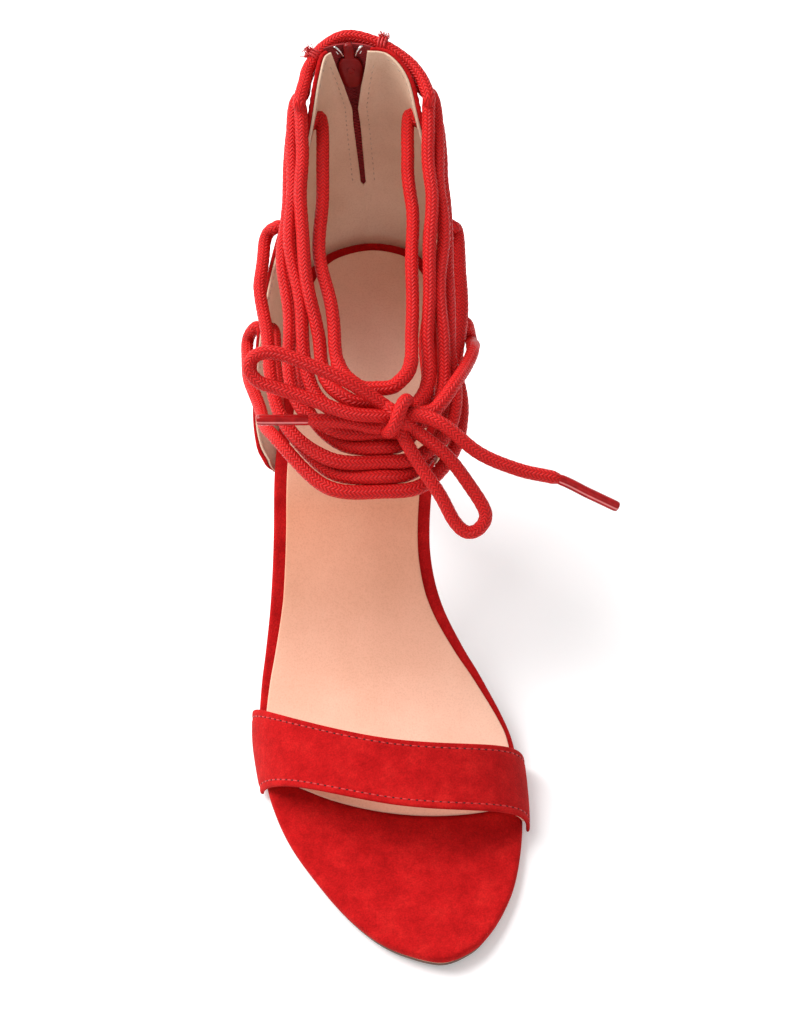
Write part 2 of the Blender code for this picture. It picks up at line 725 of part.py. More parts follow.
def knot_root(heading):
    """Where a cord that heads a given way leaves the knot."""
    middle, axes = knot_frame()
    heading = np.array(heading) / np.linalg.norm(heading)
    reach = 1 / np.linalg.norm(axes @ heading / np.array(KNOT_HALF))
    return middle + heading * (reach + KNOT_CLEAR)


def make_knot(material):
    middle, axes = knot_frame()
    rings = []
    turn = np.linspace(0, 2 * math.pi, 12, endpoint=False)[:, None]
    for tilt in np.radians((-80, -55, -28, 0, 28, 55, 80)):
        ring = np.cos(turn) * axes[1] * KNOT_HALF[1] + np.sin(turn) * axes[2] * KNOT_HALF[2]
        rings.append(middle + axes[0] * KNOT_HALF[0] * math.sin(tilt) + math.cos(tilt) * ring)
    ring_body("lace_knot", rings, material)


def make_bow(material, film):
    for name, headings, points in LOOPS:
        route = [np.array(point) + TOE for point in points]
        cord(name, [knot_root(headings[0]), *route, knot_root(headings[1])], CORD, material)
    for side, heading, points, tip in ENDS:
        route = [np.array(point) + TOE for point in points]
        cord(f"lace_end_{side}", [knot_root(heading), *route], CORD, material)
        end = np.array(tip) + TOE
        away = end - route[-1]
        start = route[-1] + away / np.linalg.norm(away) * GAP
        cord(f"lace_tip_{side}", [start, (start + end) / 2, end], TIP_DIAMETER, film)


clear_scene()
suede = make_material("red_suede", (0.55, 0.02, 0.03), 0.9)
nude = make_material("nude_leather", (0.78, 0.50, 0.38), 0.5)
leather = make_material("sole_leather", (0.20, 0.09, 0.05), 0.5)
rubber = make_material("tip_rubber", (0.03, 0.02, 0.02), 0.6)
cotton = make_material("waxed_cotton", (0.50, 0.01, 0.02), 0.7)
lacquer = make_material("red_lacquer", (0.25, 0.01, 0.02), 0.25, 0.6)
tape = make_material("zip_tape", (0.45, 0.02, 0.03), 0.8)
film = make_material("lace_film", (0.30, 0.01, 0.02), 0.15)

make_outsole(leather)
make_footbed(suede)
make_sock(nude)
make_heel(suede, rubber)
make_toe_band(suede)
make_quarter(suede)
make_zip(tape, lacquer)
make_pull(lacquer)
make_bars(cotton)
make_wraps(cotton)
make_knot(cotton)
make_bow(cotton, film)
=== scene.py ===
"""Open-toe lace-up sandal on a slim high heel, for the right foot.

Metres, +Z up, toe towards -Y, big-toe side towards +X.
A station is a distance along the footbed's top, from the back of the heel (0) to the toe tip.
"""
import math

import bmesh
import bpy
import numpy as np
from mathutils import Matrix, Vector


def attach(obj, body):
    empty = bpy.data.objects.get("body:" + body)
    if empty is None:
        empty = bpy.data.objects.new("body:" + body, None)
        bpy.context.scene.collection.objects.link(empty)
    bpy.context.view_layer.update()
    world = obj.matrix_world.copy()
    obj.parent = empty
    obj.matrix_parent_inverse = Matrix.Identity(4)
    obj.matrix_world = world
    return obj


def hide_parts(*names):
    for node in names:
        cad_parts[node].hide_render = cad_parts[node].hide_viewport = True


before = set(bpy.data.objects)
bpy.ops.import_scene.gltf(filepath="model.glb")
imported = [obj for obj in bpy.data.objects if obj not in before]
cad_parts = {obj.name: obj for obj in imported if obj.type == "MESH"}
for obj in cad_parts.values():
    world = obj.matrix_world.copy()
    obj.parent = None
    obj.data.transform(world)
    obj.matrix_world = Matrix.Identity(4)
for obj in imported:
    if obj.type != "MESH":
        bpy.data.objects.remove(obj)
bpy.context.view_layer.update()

# Footbed: a stiff insole board bent over the last and wrapped in red suede, its edge turned under.
# It falls from the heel seat over the arch to a flat forefoot, and the bare toe end lifts slightly.
bed_length = 0.236
bed_thick = 0.0032
toe_y = -0.1064
toe = np.array([0, toe_y, 0])
seat_gap = 0.0003
sole_thick = 0.0018
ball_flat = 0.0004
ball_height = bed_thick + seat_gap + sole_thick - ball_flat
bed_slopes = (
    (0.000, 15), (0.030, 18), (0.062, 43), (0.120, 46),
    (0.165, 8), (0.185, 0), (0.215, -2), (0.236, -8),
)
profile_step = 0.0005
profile_past = (0.012, 0.006)
slope_blend = 41
heel_back_x = 0.0005
toe_tip_x = 0.0105
# Station, lateral x, medial x
bed_outline = (
    (0.0030, -0.0120, 0.0125), (0.0100, -0.0195, 0.0190), (0.0200, -0.0237, 0.0220),
    (0.0350, -0.0260, 0.0225), (0.0550, -0.0292, 0.0205), (0.0750, -0.0323, 0.0172),
    (0.0950, -0.0335, 0.0150), (0.1080, -0.0345, 0.0154), (0.1200, -0.0358, 0.0182),
    (0.1320, -0.0376, 0.0236), (0.1420, -0.0392, 0.0290), (0.1550, -0.0403, 0.0349),
    (0.1650, -0.0397, 0.0376), (0.1800, -0.0370, 0.0382), (0.1950, -0.0316, 0.0372),
    (0.2100, -0.0228, 0.0339), (0.2200, -0.0156, 0.0296), (0.2280, -0.0077, 0.0243),
    (0.2330, 0.0005, 0.0188),
)
# Rows of points over a rounded edge, as shares of its width
fold_shares = np.array([0, 0.02, 0.08, 0.2, 0.4, 0.65, 1.0])
bow_span = (0.150, 0.175)
white = (1.0, 1.0, 1.0)


def smooth_line(points, per_span, closed=False):
    """Points along a Catmull-Rom curve through the given ones."""
    points = np.asarray(points, float)
    if closed:
        padded = np.concatenate([points[-1:], points, points[:2]])
    else:
        padded = np.concatenate([2 * points[:1] - points[1:2], points, 2 * points[-1:] - points[-2:-1]])
    share = np.linspace(0, 1, per_span, endpoint=False)[:, None]
    pieces = []
    for span in range(len(padded) - 3):
        a, b, c, d = padded[span:span + 4]
        bend = 2 * a - 5 * b + 4 * c - d
        twist = 3 * b - a - 3 * c + d
        pieces.append(0.5 * (2 * b + (c - a) * share + bend * share**2 + twist * share**3))
    if not closed:
        pieces.append(points[-1:])
    return np.concatenate(pieces)


def lengths_along(line):
    """Distance of each point of a line from its first."""
    return np.concatenate([[0], np.cumsum(np.linalg.norm(np.diff(line, axis=0), axis=1))])


def points_at(line, wanted):
    """Points of a line at given distances from its first."""
    length = lengths_along(line)
    return np.stack([np.interp(wanted, length, column) for column in line.T], axis=-1)


def unit(vectors):
    """Vectors at a length of one."""
    return vectors / np.linalg.norm(vectors, axis=-1, keepdims=True)


def table_at(value, table):
    """Second column of a table, read at a value of its first."""
    return np.interp(value, *np.array(table).T)


def share_between(value, start, end):
    """Share of the way from a start to an end, held at 0 and 1."""
    return np.clip((value - start) / (end - start), 0, 1)


def bed_profile():
    """Station, y, z and slope along the middle of the footbed's top."""
    station = np.arange(-profile_past[0], bed_length + profile_past[1], profile_step)
    window = np.full(slope_blend, 1 / slope_blend)
    padded = np.pad(table_at(station, bed_slopes), slope_blend // 2, mode="edge")
    slope = np.radians(np.convolve(padded, window, mode="valid"))
    run = np.cumsum(np.cos(slope)) * profile_step
    drop = np.cumsum(np.sin(slope)) * profile_step
    y = toe_y + np.interp(bed_length, station, run) - run
    return station, y, drop.max() - drop + ball_height, slope


profile_station, profile_y, profile_z, profile_slope = bed_profile()


def on_bed(station, x, height):
    """Points at a height square off the footbed's top."""
    slope = np.interp(station, profile_station, profile_slope)
    y = np.interp(station, profile_station, profile_y) - np.sin(slope) * height
    z = np.interp(station, profile_station, profile_z) + np.cos(slope) * height
    return np.stack(np.broadcast_arrays(x, y, z), axis=-1)


def last_outline():
    """Closed outline as (station, x), lateral side first, with its outward normals."""
    table = np.array(bed_outline)
    corners = [(0, heel_back_x), *table[:, (0, 1)], (bed_length, toe_tip_x), *table[::-1, (0, 2)]]
    loop = smooth_line(corners, 12, closed=True)
    along = np.roll(loop, -1, axis=0) - np.roll(loop, 1, axis=0)
    normal = unit(np.stack([along[:, 1], -along[:, 0]], axis=1))
    return loop, normal * np.sign(np.sum(normal * (loop - loop.mean(axis=0))))


outline, outline_out = last_outline()


def both_sides(loop):
    """Lateral and medial half of a closed row of values, each from the back to the toe."""
    half = len(loop) // 2
    return loop[:half + 1], np.concatenate([loop[:1], loop[:half - 1:-1]])


def bed_sides(margin, start, ends, count):
    """Lateral and medial edge of a layer on the footbed, moved in by a margin, between two stations."""
    inset = table_at(outline[:, 0], margin)[:, None]
    edges = []
    for chain, end in zip(both_sides(outline - outline_out * inset), ends):
        first, last = np.interp((start, end), chain[:, 0], lengths_along(chain))
        near = np.array([0, 0.0001, 0.0004, 0.0009, 0.0016])
        even = np.linspace(near[-1], last - first - near[-1], count)[1:-1]
        edges.append(points_at(chain, first + np.concatenate([near, even, last - first - near[::-1]])))
    return edges


def edge_distance(points, corners):
    """Distance of points in a plane from a closed outline."""
    nearest = np.full(points.shape[:-1], 1.0)
    for a, b in zip(corners, np.roll(corners, -1, axis=0)):
        side = b - a
        share = np.clip((points - a) @ side / max(side @ side, 1e-18), 0, 1)
        nearest = np.minimum(nearest, np.linalg.norm(points - a - share[..., None] * side, axis=-1))
    return nearest


def folded(distance, fold):
    """Share of the full thickness at a distance from a folded or rounded edge."""
    inside = 1 - np.clip(distance / fold, 0, 1)
    return (1 - inside**2.6) ** (1 / 2.6)


def loft(rings, along=None):
    """Body through closed rings of points: a grid is laid on them and its open ends are filled."""
    rows, around = rings.shape[:2]
    if along is None:
        along = lengths_along(rings.mean(axis=1))
    shape = bmesh.new()
    coords = shape.loops.layers.uv.new("UVMap")
    bmesh.ops.create_grid(shape, x_segments=around, y_segments=rows - 1, size=0.5)
    places = {}
    for vert in shape.verts:
        column = round((vert.co.x + 0.5) * around)
        row = round((vert.co.y + 0.5) * (rows - 1))
        places[vert] = (column / around, along[row])
        vert.co = rings[row, column % around]
    for face in shape.faces:
        for corner in face.loops:
            corner[coords].uv = places[corner.vert]
    bmesh.ops.remove_doubles(shape, verts=shape.verts, dist=0.000001)
    rim = [edge for edge in shape.edges if edge.is_boundary]
    bmesh.ops.holes_fill(shape, edges=rim, sides=0)
    bmesh.ops.recalc_face_normals(shape, faces=shape.faces)
    return shape


def panel(outer, inner):
    """Closed sheet from two grids of points that meet along their edges."""
    return loft(np.concatenate([outer, inner[:, ::-1]], axis=1))


def bed_layer(edges, top, bottom, fold, floor=None, bow=0.0):
    """Layer on the footbed between two heights, its edge rounded and its front edge bowed forward."""
    lateral, medial = edges
    width = np.linalg.norm(medial - lateral, axis=1)
    near = fold_shares[None] * np.minimum(fold, 0.4 * width)[:, None]
    share = np.linspace(0, 1, 22)[None, 1:-1]
    middle = near[:, -1:] * (1 - share) + (width[:, None] - near[:, -1:]) * share
    across = np.concatenate([near, middle, width[:, None] - near[:, ::-1]], axis=1)
    across = (across / np.maximum(width, 1e-9)[:, None])[..., None]
    plan = lateral[:, None] * (1 - across) + medial[:, None] * across
    forward = share_between(plan[..., 0], *bow_span) ** 2
    plan[..., 0] += bow * forward * 4 * across[..., 0] * (1 - across[..., 0])
    full = folded(edge_distance(plan, np.concatenate([lateral, plan[-1], medial[::-1]])), fold)
    half = (top - bottom) / 2 * full
    upper = on_bed(plan[..., 0], plan[..., 1], (top + bottom) / 2 + half)
    lower = on_bed(plan[..., 0], plan[..., 1], (top + bottom) / 2 - half)
    if floor is not None:
        lower[..., 2] = np.maximum(lower[..., 2], floor)
    return panel(upper, lower)


def add_piece(name, shape, finish, body="shoe"):
    """Object from a finished shape, riding on a body."""
    mesh = bpy.data.meshes.new(name)
    shape.to_mesh(mesh)
    shape.free()
    mesh.shade_smooth()
    mesh.set_sharp_from_angle(angle=math.radians(55))
    mesh.materials.append(finish)
    piece = bpy.data.objects.new(name, mesh)
    bpy.context.scene.collection.objects.link(piece)
    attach(piece, body)
    return piece


def on_sockets(finish, node, inputs):
    """Put numbers, colours or other nodes' outputs on a node's sockets."""
    for socket, value in inputs.items():
        if isinstance(value, bpy.types.NodeSocket):
            finish.node_tree.links.new(value, node.inputs[socket])
        else:
            node.inputs[socket].default_value = value
    return node


def on_shader(finish, inputs):
    """Put numbers, colours or nodes' outputs on the shader of a finish."""
    on_sockets(finish, finish.node_tree.nodes["Principled BSDF"], inputs)


def add_node(finish, kind, inputs):
    """New node of a finish."""
    return on_sockets(finish, finish.node_tree.nodes.new(kind), inputs)


def new_finish(name, colour, roughness):
    """Material in one plain colour."""
    finish = bpy.data.materials.new(name)
    finish.use_nodes = True
    on_shader(finish, {"Base Color": (*colour, 1), "Roughness": roughness})
    return finish


def object_noise(finish, scale, detail):
    """Noise over the piece's own coordinates; a scale of 1000 gives patches of a millimetre."""
    coords = add_node(finish, "ShaderNodeTexCoord", {})
    noise = add_node(finish, "ShaderNodeTexNoise", {
        "Vector": coords.outputs["Object"], "Scale": scale, "Detail": detail})
    return noise.outputs["Fac"]


def colour_ramp(finish, value, stops):
    """Colours over a value, as pairs of place and colour."""
    ramp = add_node(finish, "ShaderNodeValToRGB", {"Fac": value})
    bands = ramp.color_ramp.elements
    for number, (place, colour) in enumerate(stops):
        band = bands[number] if number < 2 else bands.new(place)
        band.position = place
        band.color = (*colour, 1)
    return ramp.outputs["Color"]


def mixed(finish, mode, share, first, second):
    """Two colours mixed in a given mode."""
    mix = finish.node_tree.nodes.new("ShaderNodeMix")
    mix.data_type = "RGBA"
    mix.blend_type = mode
    on_sockets(finish, mix, {"Factor": share, "A": first, "B": second})
    return mix.outputs["Result"]


def raised(finish, height, strength, distance, before=None):
    """Bump from a height, laid over an earlier bump if there is one."""
    bump = add_node(finish, "ShaderNodeBump", {
        "Height": height, "Strength": strength, "Distance": distance})
    if before:
        on_sockets(finish, bump, {"Normal": before})
    on_shader(finish, {"Normal": bump.outputs["Normal"]})
    return bump.outputs["Normal"]


def suede_finish(name, dark, middle, light):
    """Red suede: brushed patches of nap, fine fibres and a soft sheen."""
    finish = new_finish(name, middle, 0.92)
    patches = colour_ramp(finish, object_noise(finish, 150, 6), (
        (0.28, dark), (0.74, light), (0.52, middle)))
    rubbed = colour_ramp(finish, object_noise(finish, 520, 3), (
        (0.34, (0.80, 0.74, 0.74)), (0.62, white)))
    fibres = colour_ramp(finish, object_noise(finish, 1900, 3), (
        (0.32, (0.66, 0.60, 0.60)), (0.66, white)))
    wear_and_painted_light = mixed(finish, "MULTIPLY", 0.7, patches, rubbed)
    on_shader(finish, {
        "Base Color": mixed(finish, "MULTIPLY", 0.8, wear_and_painted_light, fibres), "Specular IOR Level": 0.08,
        "Sheen Weight": 0.12, "Sheen Roughness": 0.45, "Sheen Tint": (1.0, 0.25, 0.22, 1)})
    nap = raised(finish, object_noise(finish, 2600, 4), 0.45, 0.0004)
    raised(finish, object_noise(finish, 240, 3), 0.25, 0.0006, nap)
    return finish


suede = suede_finish("red_suede", (0.43, 0.005, 0.006), (0.52, 0.008, 0.009), (0.60, 0.014, 0.013))
footbed = add_piece("footbed_wrap", bed_layer(
    bed_sides(((0, 0), (1, 0)), 0, (bed_length, bed_length), 190), 0, -bed_thick, 0.0015), suede)
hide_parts("footbed")

# Outsole: a thin leather sheet cemented under the forefoot and the arch, skived towards its back.
# Its edge is ink-stained dark brown under a pale welt line where the leather meets the suede.
sole_back = 0.0545
sole_inset = ((0, 0.0010), (1, 0.0010))
welt_thick = 0.0006


def mottled_finish(name, colour, roughness, mottle, stops, grain=None, settings=None):
    """Tones over noise, with a fine grain as bump and further settings of the shader."""
    finish = new_finish(name, colour, roughness)
    tones = colour_ramp(finish, object_noise(finish, *mottle), stops)
    on_shader(finish, {"Base Color": tones, **(settings or {})})
    if grain:
        scale, detail, strength, distance = grain
        raised(finish, object_noise(finish, scale, detail), strength, distance)
    return finish


def sole_finish(name, dark, light, roughness):
    """Vegetable-tanned leather with a rubbed edge."""
    return mottled_finish(
        name, dark, roughness, (220, 5), ((0.30, dark), (0.75, light)), (1400, 4, 0.25, 0.0003),
        {"Coat Weight": 0.15, "Coat Roughness": 0.4})


sole_dark = sole_finish("sole_leather", (0.10, 0.045, 0.028), (0.17, 0.080, 0.050), 0.55)
sole_tan = sole_finish("welt_leather", (0.52, 0.33, 0.20), (0.66, 0.45, 0.29), 0.6)
sole_edges = bed_sides(sole_inset, sole_back, (bed_length, bed_length), 150)
sole_top = -bed_thick - seat_gap
welt = add_piece("outsole_welt", bed_layer(
    sole_edges, sole_top, sole_top - welt_thick, 0.0002), sole_tan)
tread = add_piece("outsole_tread", bed_layer(
    sole_edges, sole_top - welt_thick, sole_top - sole_thick, 0.0005, floor=0), sole_dark)
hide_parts("outsole")

# Heel: a slim moulded heel wrapped in one piece of suede, glued and nailed up into the heel seat.
# Its breast is hollowed, and a hard rubber top piece is pinned under it.
seat_stations = (0.0006, 0.0480)
seat_half_width = 0.0255
seat_x = -0.0020
seat_inset = 0.0005
seat_squareness = 2.6
heel_squareness = 2.1
heel_points = 64
# Height, lean of the section, y from the toe tip, half width, half depth
heel_sections = (
    (0.0690, 0.34, 0.1870, 0.0190, 0.0165), (0.0590, 0.24, 0.1892, 0.0145, 0.0128),
    (0.0470, 0.14, 0.1908, 0.0102, 0.0098), (0.0330, 0.05, 0.1918, 0.0072, 0.0074),
    (0.0180, 0.00, 0.1922, 0.0056, 0.0060), (0.0063, 0.00, 0.1922, 0.0051, 0.0055),
)


def squared_round(count, squareness):
    """Two columns of the plan of a rounded square with a half width of one."""
    turn = np.linspace(0, 2 * math.pi, count, endpoint=False)
    plan = np.stack([np.cos(turn), np.sin(turn)])
    return np.sign(plan) * np.abs(plan) ** (2 / squareness)


def heel_plan(y, half_width, half_depth, squareness):
    """Plan of one section of the heel."""
    wide, deep = squared_round(heel_points, squareness)
    return wide * half_width, toe_y + y + deep * half_depth


def heel_rings():
    """Sections of the heel from its seat down to the top piece."""
    seat = np.interp(seat_stations, profile_station, profile_y) - toe_y
    x, y = heel_plan(seat.mean(), seat_half_width, (seat[0] - seat[1]) / 2, seat_squareness)
    station = np.interp(-y, -profile_y, profile_station)
    lateral, medial = [np.interp(station, *side.T) for side in both_sides(outline)]
    x = np.clip(x + seat_x, lateral + seat_inset, medial - seat_inset)
    drop = (bed_thick + seat_gap) / np.cos(np.interp(station, profile_station, profile_slope))
    rings = [np.stack([x, y, np.interp(station, profile_station, profile_z) - drop], axis=1)]
    for height, lean, middle, half_width, half_depth in heel_sections:
        x, y = heel_plan(middle, half_width, half_depth, heel_squareness)
        rings.append(np.stack([x, y, height + lean * (y - toe_y - middle)], axis=1))
    return smooth_line(np.array(rings).reshape(len(rings), -1), 10).reshape(-1, heel_points, 3)


heel_shape = heel_rings()
heel = add_piece("heel_cover", loft(heel_shape), suede)
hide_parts("heel")
rubber = mottled_finish(
    "tip_rubber", (0.025, 0.018, 0.018), 0.65, (500, 4),
    ((0.40, (0.020, 0.015, 0.015)), (0.80, (0.060, 0.050, 0.048))), (1800, 3, 0.3, 0.0003))
tip_rings = []
for height, share in ((0, 0.90), (0.0004, 1.0), (0.0055, 1.0), (0.0060, 0.95)):
    ring = heel_shape[-1].copy()
    ring = ring.mean(axis=0) + (ring - ring.mean(axis=0)) * share
    ring[:, 2] = height
    tip_rings.append(ring)
heel_tip = add_piece("heel_top_piece", loft(np.array(tip_rings)), rubber)
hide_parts("heel_tip")

# Insole sock: a thin sheet of nude leather glued on the footbed inside its suede rim.
# Its front ends under the toe band, so a crescent of it shows in front of the band.
sock_front = (0.172, 0.186)
sock_bow = 0.008
sock_margins = ((0.115, 0.0039), (0.160, 0.0018))
sock_thick = 0.0008
# Span in object y of the sock's painted light and shade, from near the ball back towards the heel
painted_light_span = (-0.055, 0.075)


def nude_finish(name, deep, middle, pale, painted_light_stops=None):
    """Smooth nude leather with a fine pore; if asked, a tone ramp along its length is multiplied in as
    painted light and shade.
    """
    finish = new_finish(name, middle, 0.5)
    tone = colour_ramp(finish, object_noise(finish, 45, 4), (
        (0.30, deep), (0.75, pale), (0.52, middle)))
    pores = colour_ramp(finish, object_noise(finish, 1900, 2), (
        (0.30, (0.90, 0.86, 0.84)), (0.55, white)))
    skin = mixed(finish, "MULTIPLY", 0.8, tone, pores)
    if painted_light_stops:
        # A ramp along the piece's y, multiplied into the colour, is painted light and shade, not a tone
        # of the leather
        coords = add_node(finish, "ShaderNodeTexCoord", {})
        split = add_node(finish, "ShaderNodeSeparateXYZ", {"Vector": coords.outputs["Object"]})
        place = add_node(finish, "ShaderNodeMapRange", {
            "Value": split.outputs["Y"], "From Min": painted_light_span[0], "From Max": painted_light_span[1]})
        wear_and_painted_light = colour_ramp(finish, place.outputs["Result"], painted_light_stops)
        skin = mixed(finish, "MULTIPLY", 1.0, skin, wear_and_painted_light)
    on_shader(finish, {
        "Base Color": skin, "Specular IOR Level": 0.3, "Coat Weight": 0.06, "Coat Roughness": 0.45})
    pore = raised(finish, object_noise(finish, 2100, 3), 0.22, 0.0003)
    raised(finish, object_noise(finish, 130, 3), 0.18, 0.0008, pore)
    return finish


# The sock's ramp paints shade over the arch and a paler sheen towards the heel; the ball keeps about its
# own tone
nude = nude_finish("nude_leather", (0.82, 0.49, 0.355), (0.88, 0.535, 0.40), (0.92, 0.59, 0.45),
                   ((0.10, (0.98, 1.0, 1.0)), (0.86, (1.0, 1.05, 1.05)), (0.62, (0.88, 0.63, 0.51))))
sock_edges = bed_sides(sock_margins, 0, sock_front, 150)
sock = add_piece("insole_sock_sheet", bed_layer(
    sock_edges, seat_gap + sock_thick, seat_gap, 0.0006, bow=sock_bow), nude)
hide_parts("insole_sock")

# Toe band: a folded suede strap over the forefoot, lasted under the footbed on both sides.
# It is lined with nude leather and top-stitched along both edges.
wall = 0.0020
band_lateral = (0.150, 0.176)
band_medial = (0.170, 0.193)
band_crest = (0.0190, 0.0150)
band_sweep = (0.0120, 0.0095)
band_width = 0.0245
band_reach = 0.105
lining_thick = 0.0007
lining_gap = 0.0001
band_stitch_in = 0.0021
stitch_groove = 0.00022
# Length, thickness, pitch and depth of a stitch
band_stitch = (0.0017, 0.00055, 0.0023, 0.00005)
band_pinhole = (0.0009, 0.00075, 0.0023, 0.00016)


def band_point(across, along, offset):
    """Point over the toe band: across from lateral to medial, along from its back to its front edge."""
    lateral, medial = both_sides(outline)
    ends = [low + (high - low) * along for low, high in (band_lateral, band_medial)]
    left = np.interp(ends[0], lateral[:, 0], lateral[:, 1]) - seat_gap
    right = np.interp(ends[1], medial[:, 0], medial[:, 1]) + seat_gap
    crest = band_crest[0] + (band_crest[1] - band_crest[0]) * along + offset
    sweep = band_sweep[0] + (band_sweep[1] - band_sweep[0]) * along
    turn = math.pi * (1 - across)
    swing = np.sign(np.cos(turn)) * np.abs(np.cos(turn)) ** 0.8
    flatter = 0.45 * along * np.clip(1 - 2 * across, 0, 1)
    rise = np.abs(np.sin(turn)) ** (0.8 + flatter)
    x = (left + right) / 2 + swing * ((right - left) / 2 + offset)
    side = (swing + 1) / 2
    station = ends[0] + (ends[1] - ends[0]) * side + sweep * 4 * side * (1 - side)
    return on_bed(station, x, -bed_thick + rise * (crest + bed_thick))


def eased(width, fold, count):
    """Shares from edge to edge, close together where both edges fold."""
    near = fold_shares * fold / width
    return np.concatenate([near, np.linspace(near[-1], 1 - near[-1], count)[1:-1], 1 - near[::-1]])


def band_sheet(low, high, edge, fold, groove, short=0.0):
    """One layer of the band between two offsets, held back from its edges, with pressed stitch lines."""
    across = (short + eased(band_reach, fold, 110) * (1 - 2 * short))[None, :]
    width = band_width - 2 * edge
    along = (edge + eased(width, fold, 34) * width)[:, None] / band_width
    to_edge = np.minimum(along, 1 - along) * band_width
    to_end = (np.minimum(across, 1 - across) - short) * band_reach
    full = folded(np.minimum(to_edge - edge, to_end), fold)
    pressed = groove * np.exp(-((to_edge - band_stitch_in) / 0.0005) ** 2)
    middle = (low + high) / 2
    half = (high - low) / 2 * full
    outer = band_point(across, along, middle + half - pressed)
    return panel(outer, band_point(across, along, middle - half))


def bar_matrix(middle, along, across, normal, sizes):
    """Placing matrix of a small rounded bar from its directions and full sizes."""
    matrix = Matrix.Identity(4)
    for column, (axis, size) in enumerate(zip((along, across, normal), sizes)):
        for row in range(3):
            matrix[row][column] = axis[row] * size / 2
    matrix.translation = Vector(middle)
    return matrix


def stitch_row(shape, line, normals, stitch, start=0.0):
    """Thread stitches along a line, each one a rounded bar that is partly sunk in the leather."""
    long, thick, pitch, sink = stitch
    length = lengths_along(line)
    for place in np.arange(start + pitch / 2, length[-1] - pitch / 2, pitch):
        middle, ahead = points_at(line, np.array([place, place + 0.0004]))
        normal = np.array([np.interp(place, length, column) for column in normals.T])
        along = unit(ahead - middle)
        normal = unit(normal - along * (normal @ along))
        bmesh.ops.create_icosphere(shape, subdivisions=2, radius=1, matrix=bar_matrix(
            middle - normal * sink, along, np.cross(normal, along), normal, (long, thick, thick)))


band = add_piece("toe_band_suede", band_sheet(
    lining_thick + lining_gap, wall, 0.0, 0.0009, stitch_groove), suede)
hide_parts("toe_band")
band_lining = add_piece("toe_band_lining", band_sheet(
    0, lining_thick, 0.0008, 0.0003, 0.0, short=0.06), nude)


def band_line(along):
    """Points along a stitch line of the band with the surface's normals there."""
    step = 0.004
    across = np.linspace(0.03, 0.97, 300)
    offset = wall - stitch_groove
    ahead = band_point(across + step, along, offset) - band_point(across - step, along, offset)
    rise = band_point(across, along + step, offset) - band_point(across, along - step, offset)
    return band_point(across, along, offset), unit(np.cross(rise, ahead))


def thread_finish(name, dark, light):
    """Twisted sewing thread."""
    return mottled_finish(
        name, light, 0.55, (2500, 2), ((0.35, dark), (0.65, light)), (5000, 2, 0.3, 0.0002))


red_thread = thread_finish("red_thread", (0.40, 0.006, 0.008), (0.66, 0.022, 0.022))
# Dark bars sunk between the stitches are painted shade in the needle holes
painted_pinhole_shade = mottled_finish(
    "painted_pinhole_shade", (0.05, 0.002, 0.003), 0.9, (1500, 2),
    ((0.4, (0.03, 0.001, 0.002)), (0.6, (0.07, 0.003, 0.004))))
threads = bmesh.new()
pins = bmesh.new()
for stitch_along in (band_stitch_in / band_width, 1 - band_stitch_in / band_width):
    stitch_line, stitch_out = band_line(stitch_along)
    stitch_row(threads, stitch_line, stitch_out, band_stitch)
    stitch_row(pins, stitch_line, stitch_out, band_pinhole, start=band_stitch[2] / 2)
band_threads = add_piece("toe_band_stitches", threads, red_thread)
band_hole_shade = add_piece("toe_band_hole_shade", pins, painted_pinhole_shade)

# Heel quarter: two halves of stiffened suede round heel and ankle, sewn at the back below the zip.
# Each is lined with nude leather and edge-stitched, with three punched lace holes and no eyelets.
quarter_front = 0.076
quarter_reach = 0.085
quarter_height = 0.080
# Share from back to front, lateral x, medial x, y from the toe tip, z
quarter_edge = (
    (0.00, -0.0055, -0.0055, 0.2000, 0.1690), (0.10, -0.0110, 0.0035, 0.1975, 0.1690),
    (0.20, -0.0135, 0.0098, 0.1920, 0.1648), (0.32, -0.0160, 0.0128, 0.1855, 0.1550),
    (0.45, -0.0200, 0.0165, 0.1785, 0.1403), (0.58, -0.0270, 0.0192, 0.1710, 0.1230),
    (0.70, -0.0325, 0.0230, 0.1635, 0.1050), (0.80, -0.0355, 0.0250, 0.1575, 0.0890),
    (0.90, -0.0372, 0.0262, 0.1515, 0.0735), (0.96, -0.0362, 0.0225, 0.1470, 0.0650),
    (1.00, -0.0336, 0.0187, 0.1435, 0.0610),
)
quarter_bulge = ((0.0, 0.0045), (0.3, 0.0035), (0.7, 0.0015), (1.0, 0.0003))
lace_holes = ((0.27, 0.872, 0.89), (0.52, 0.85, 0.94), (0.71, 0.76, 0.94))
hole_diameter = 0.0046
punch_depth = 0.012
zip_bottom = 0.30
# Share of the way up, half width of the opening beside the zip; below it the halves overlap in the seam
slot_flare = (
    (0.285, -0.0004), (0.30, 0.0011), (0.72, 0.0015), (0.85, 0.0034), (0.93, 0.0050), (1.10, 0.0076),
)
foot_tuck = 0.0007
foot_skive = 0.55
tuck_height = 0.007
skive_height = 0.006
margin_reach = (0.0006, -0.0060)
margin_depth = (0.00003, 0.00027)
flap_roll = 0.0025
flap_width = 0.0042
flap_bend = (0.58, 0.80)
flap_ease = (0.90, 1.00)
edge_stitch_in = 0.0019
slot_stitch_in = 0.0020
quarter_stitch = (0.0016, 0.0005, 0.0022, 0.00005)
lining_stitch = (0.0015, 0.00045, 0.0022, 0.00005)
slot_lining_stitch = (0.0015, 0.00045, 0.0022, 0.00012)
free_edge = smooth_line(quarter_edge, 12)
bed_edge, bed_edge_out = both_sides(outline), both_sides(outline_out)


def bed_rim(side, reach):
    """Station, x and outward direction along the quarter's foot, on one side of the footbed."""
    chain = bed_edge[side]
    length = lengths_along(chain)
    place = reach * np.interp(quarter_front, chain[:, 0], length)
    return [np.interp(place, length, column) for column in (*chain.T, *bed_edge_out[side].T)]


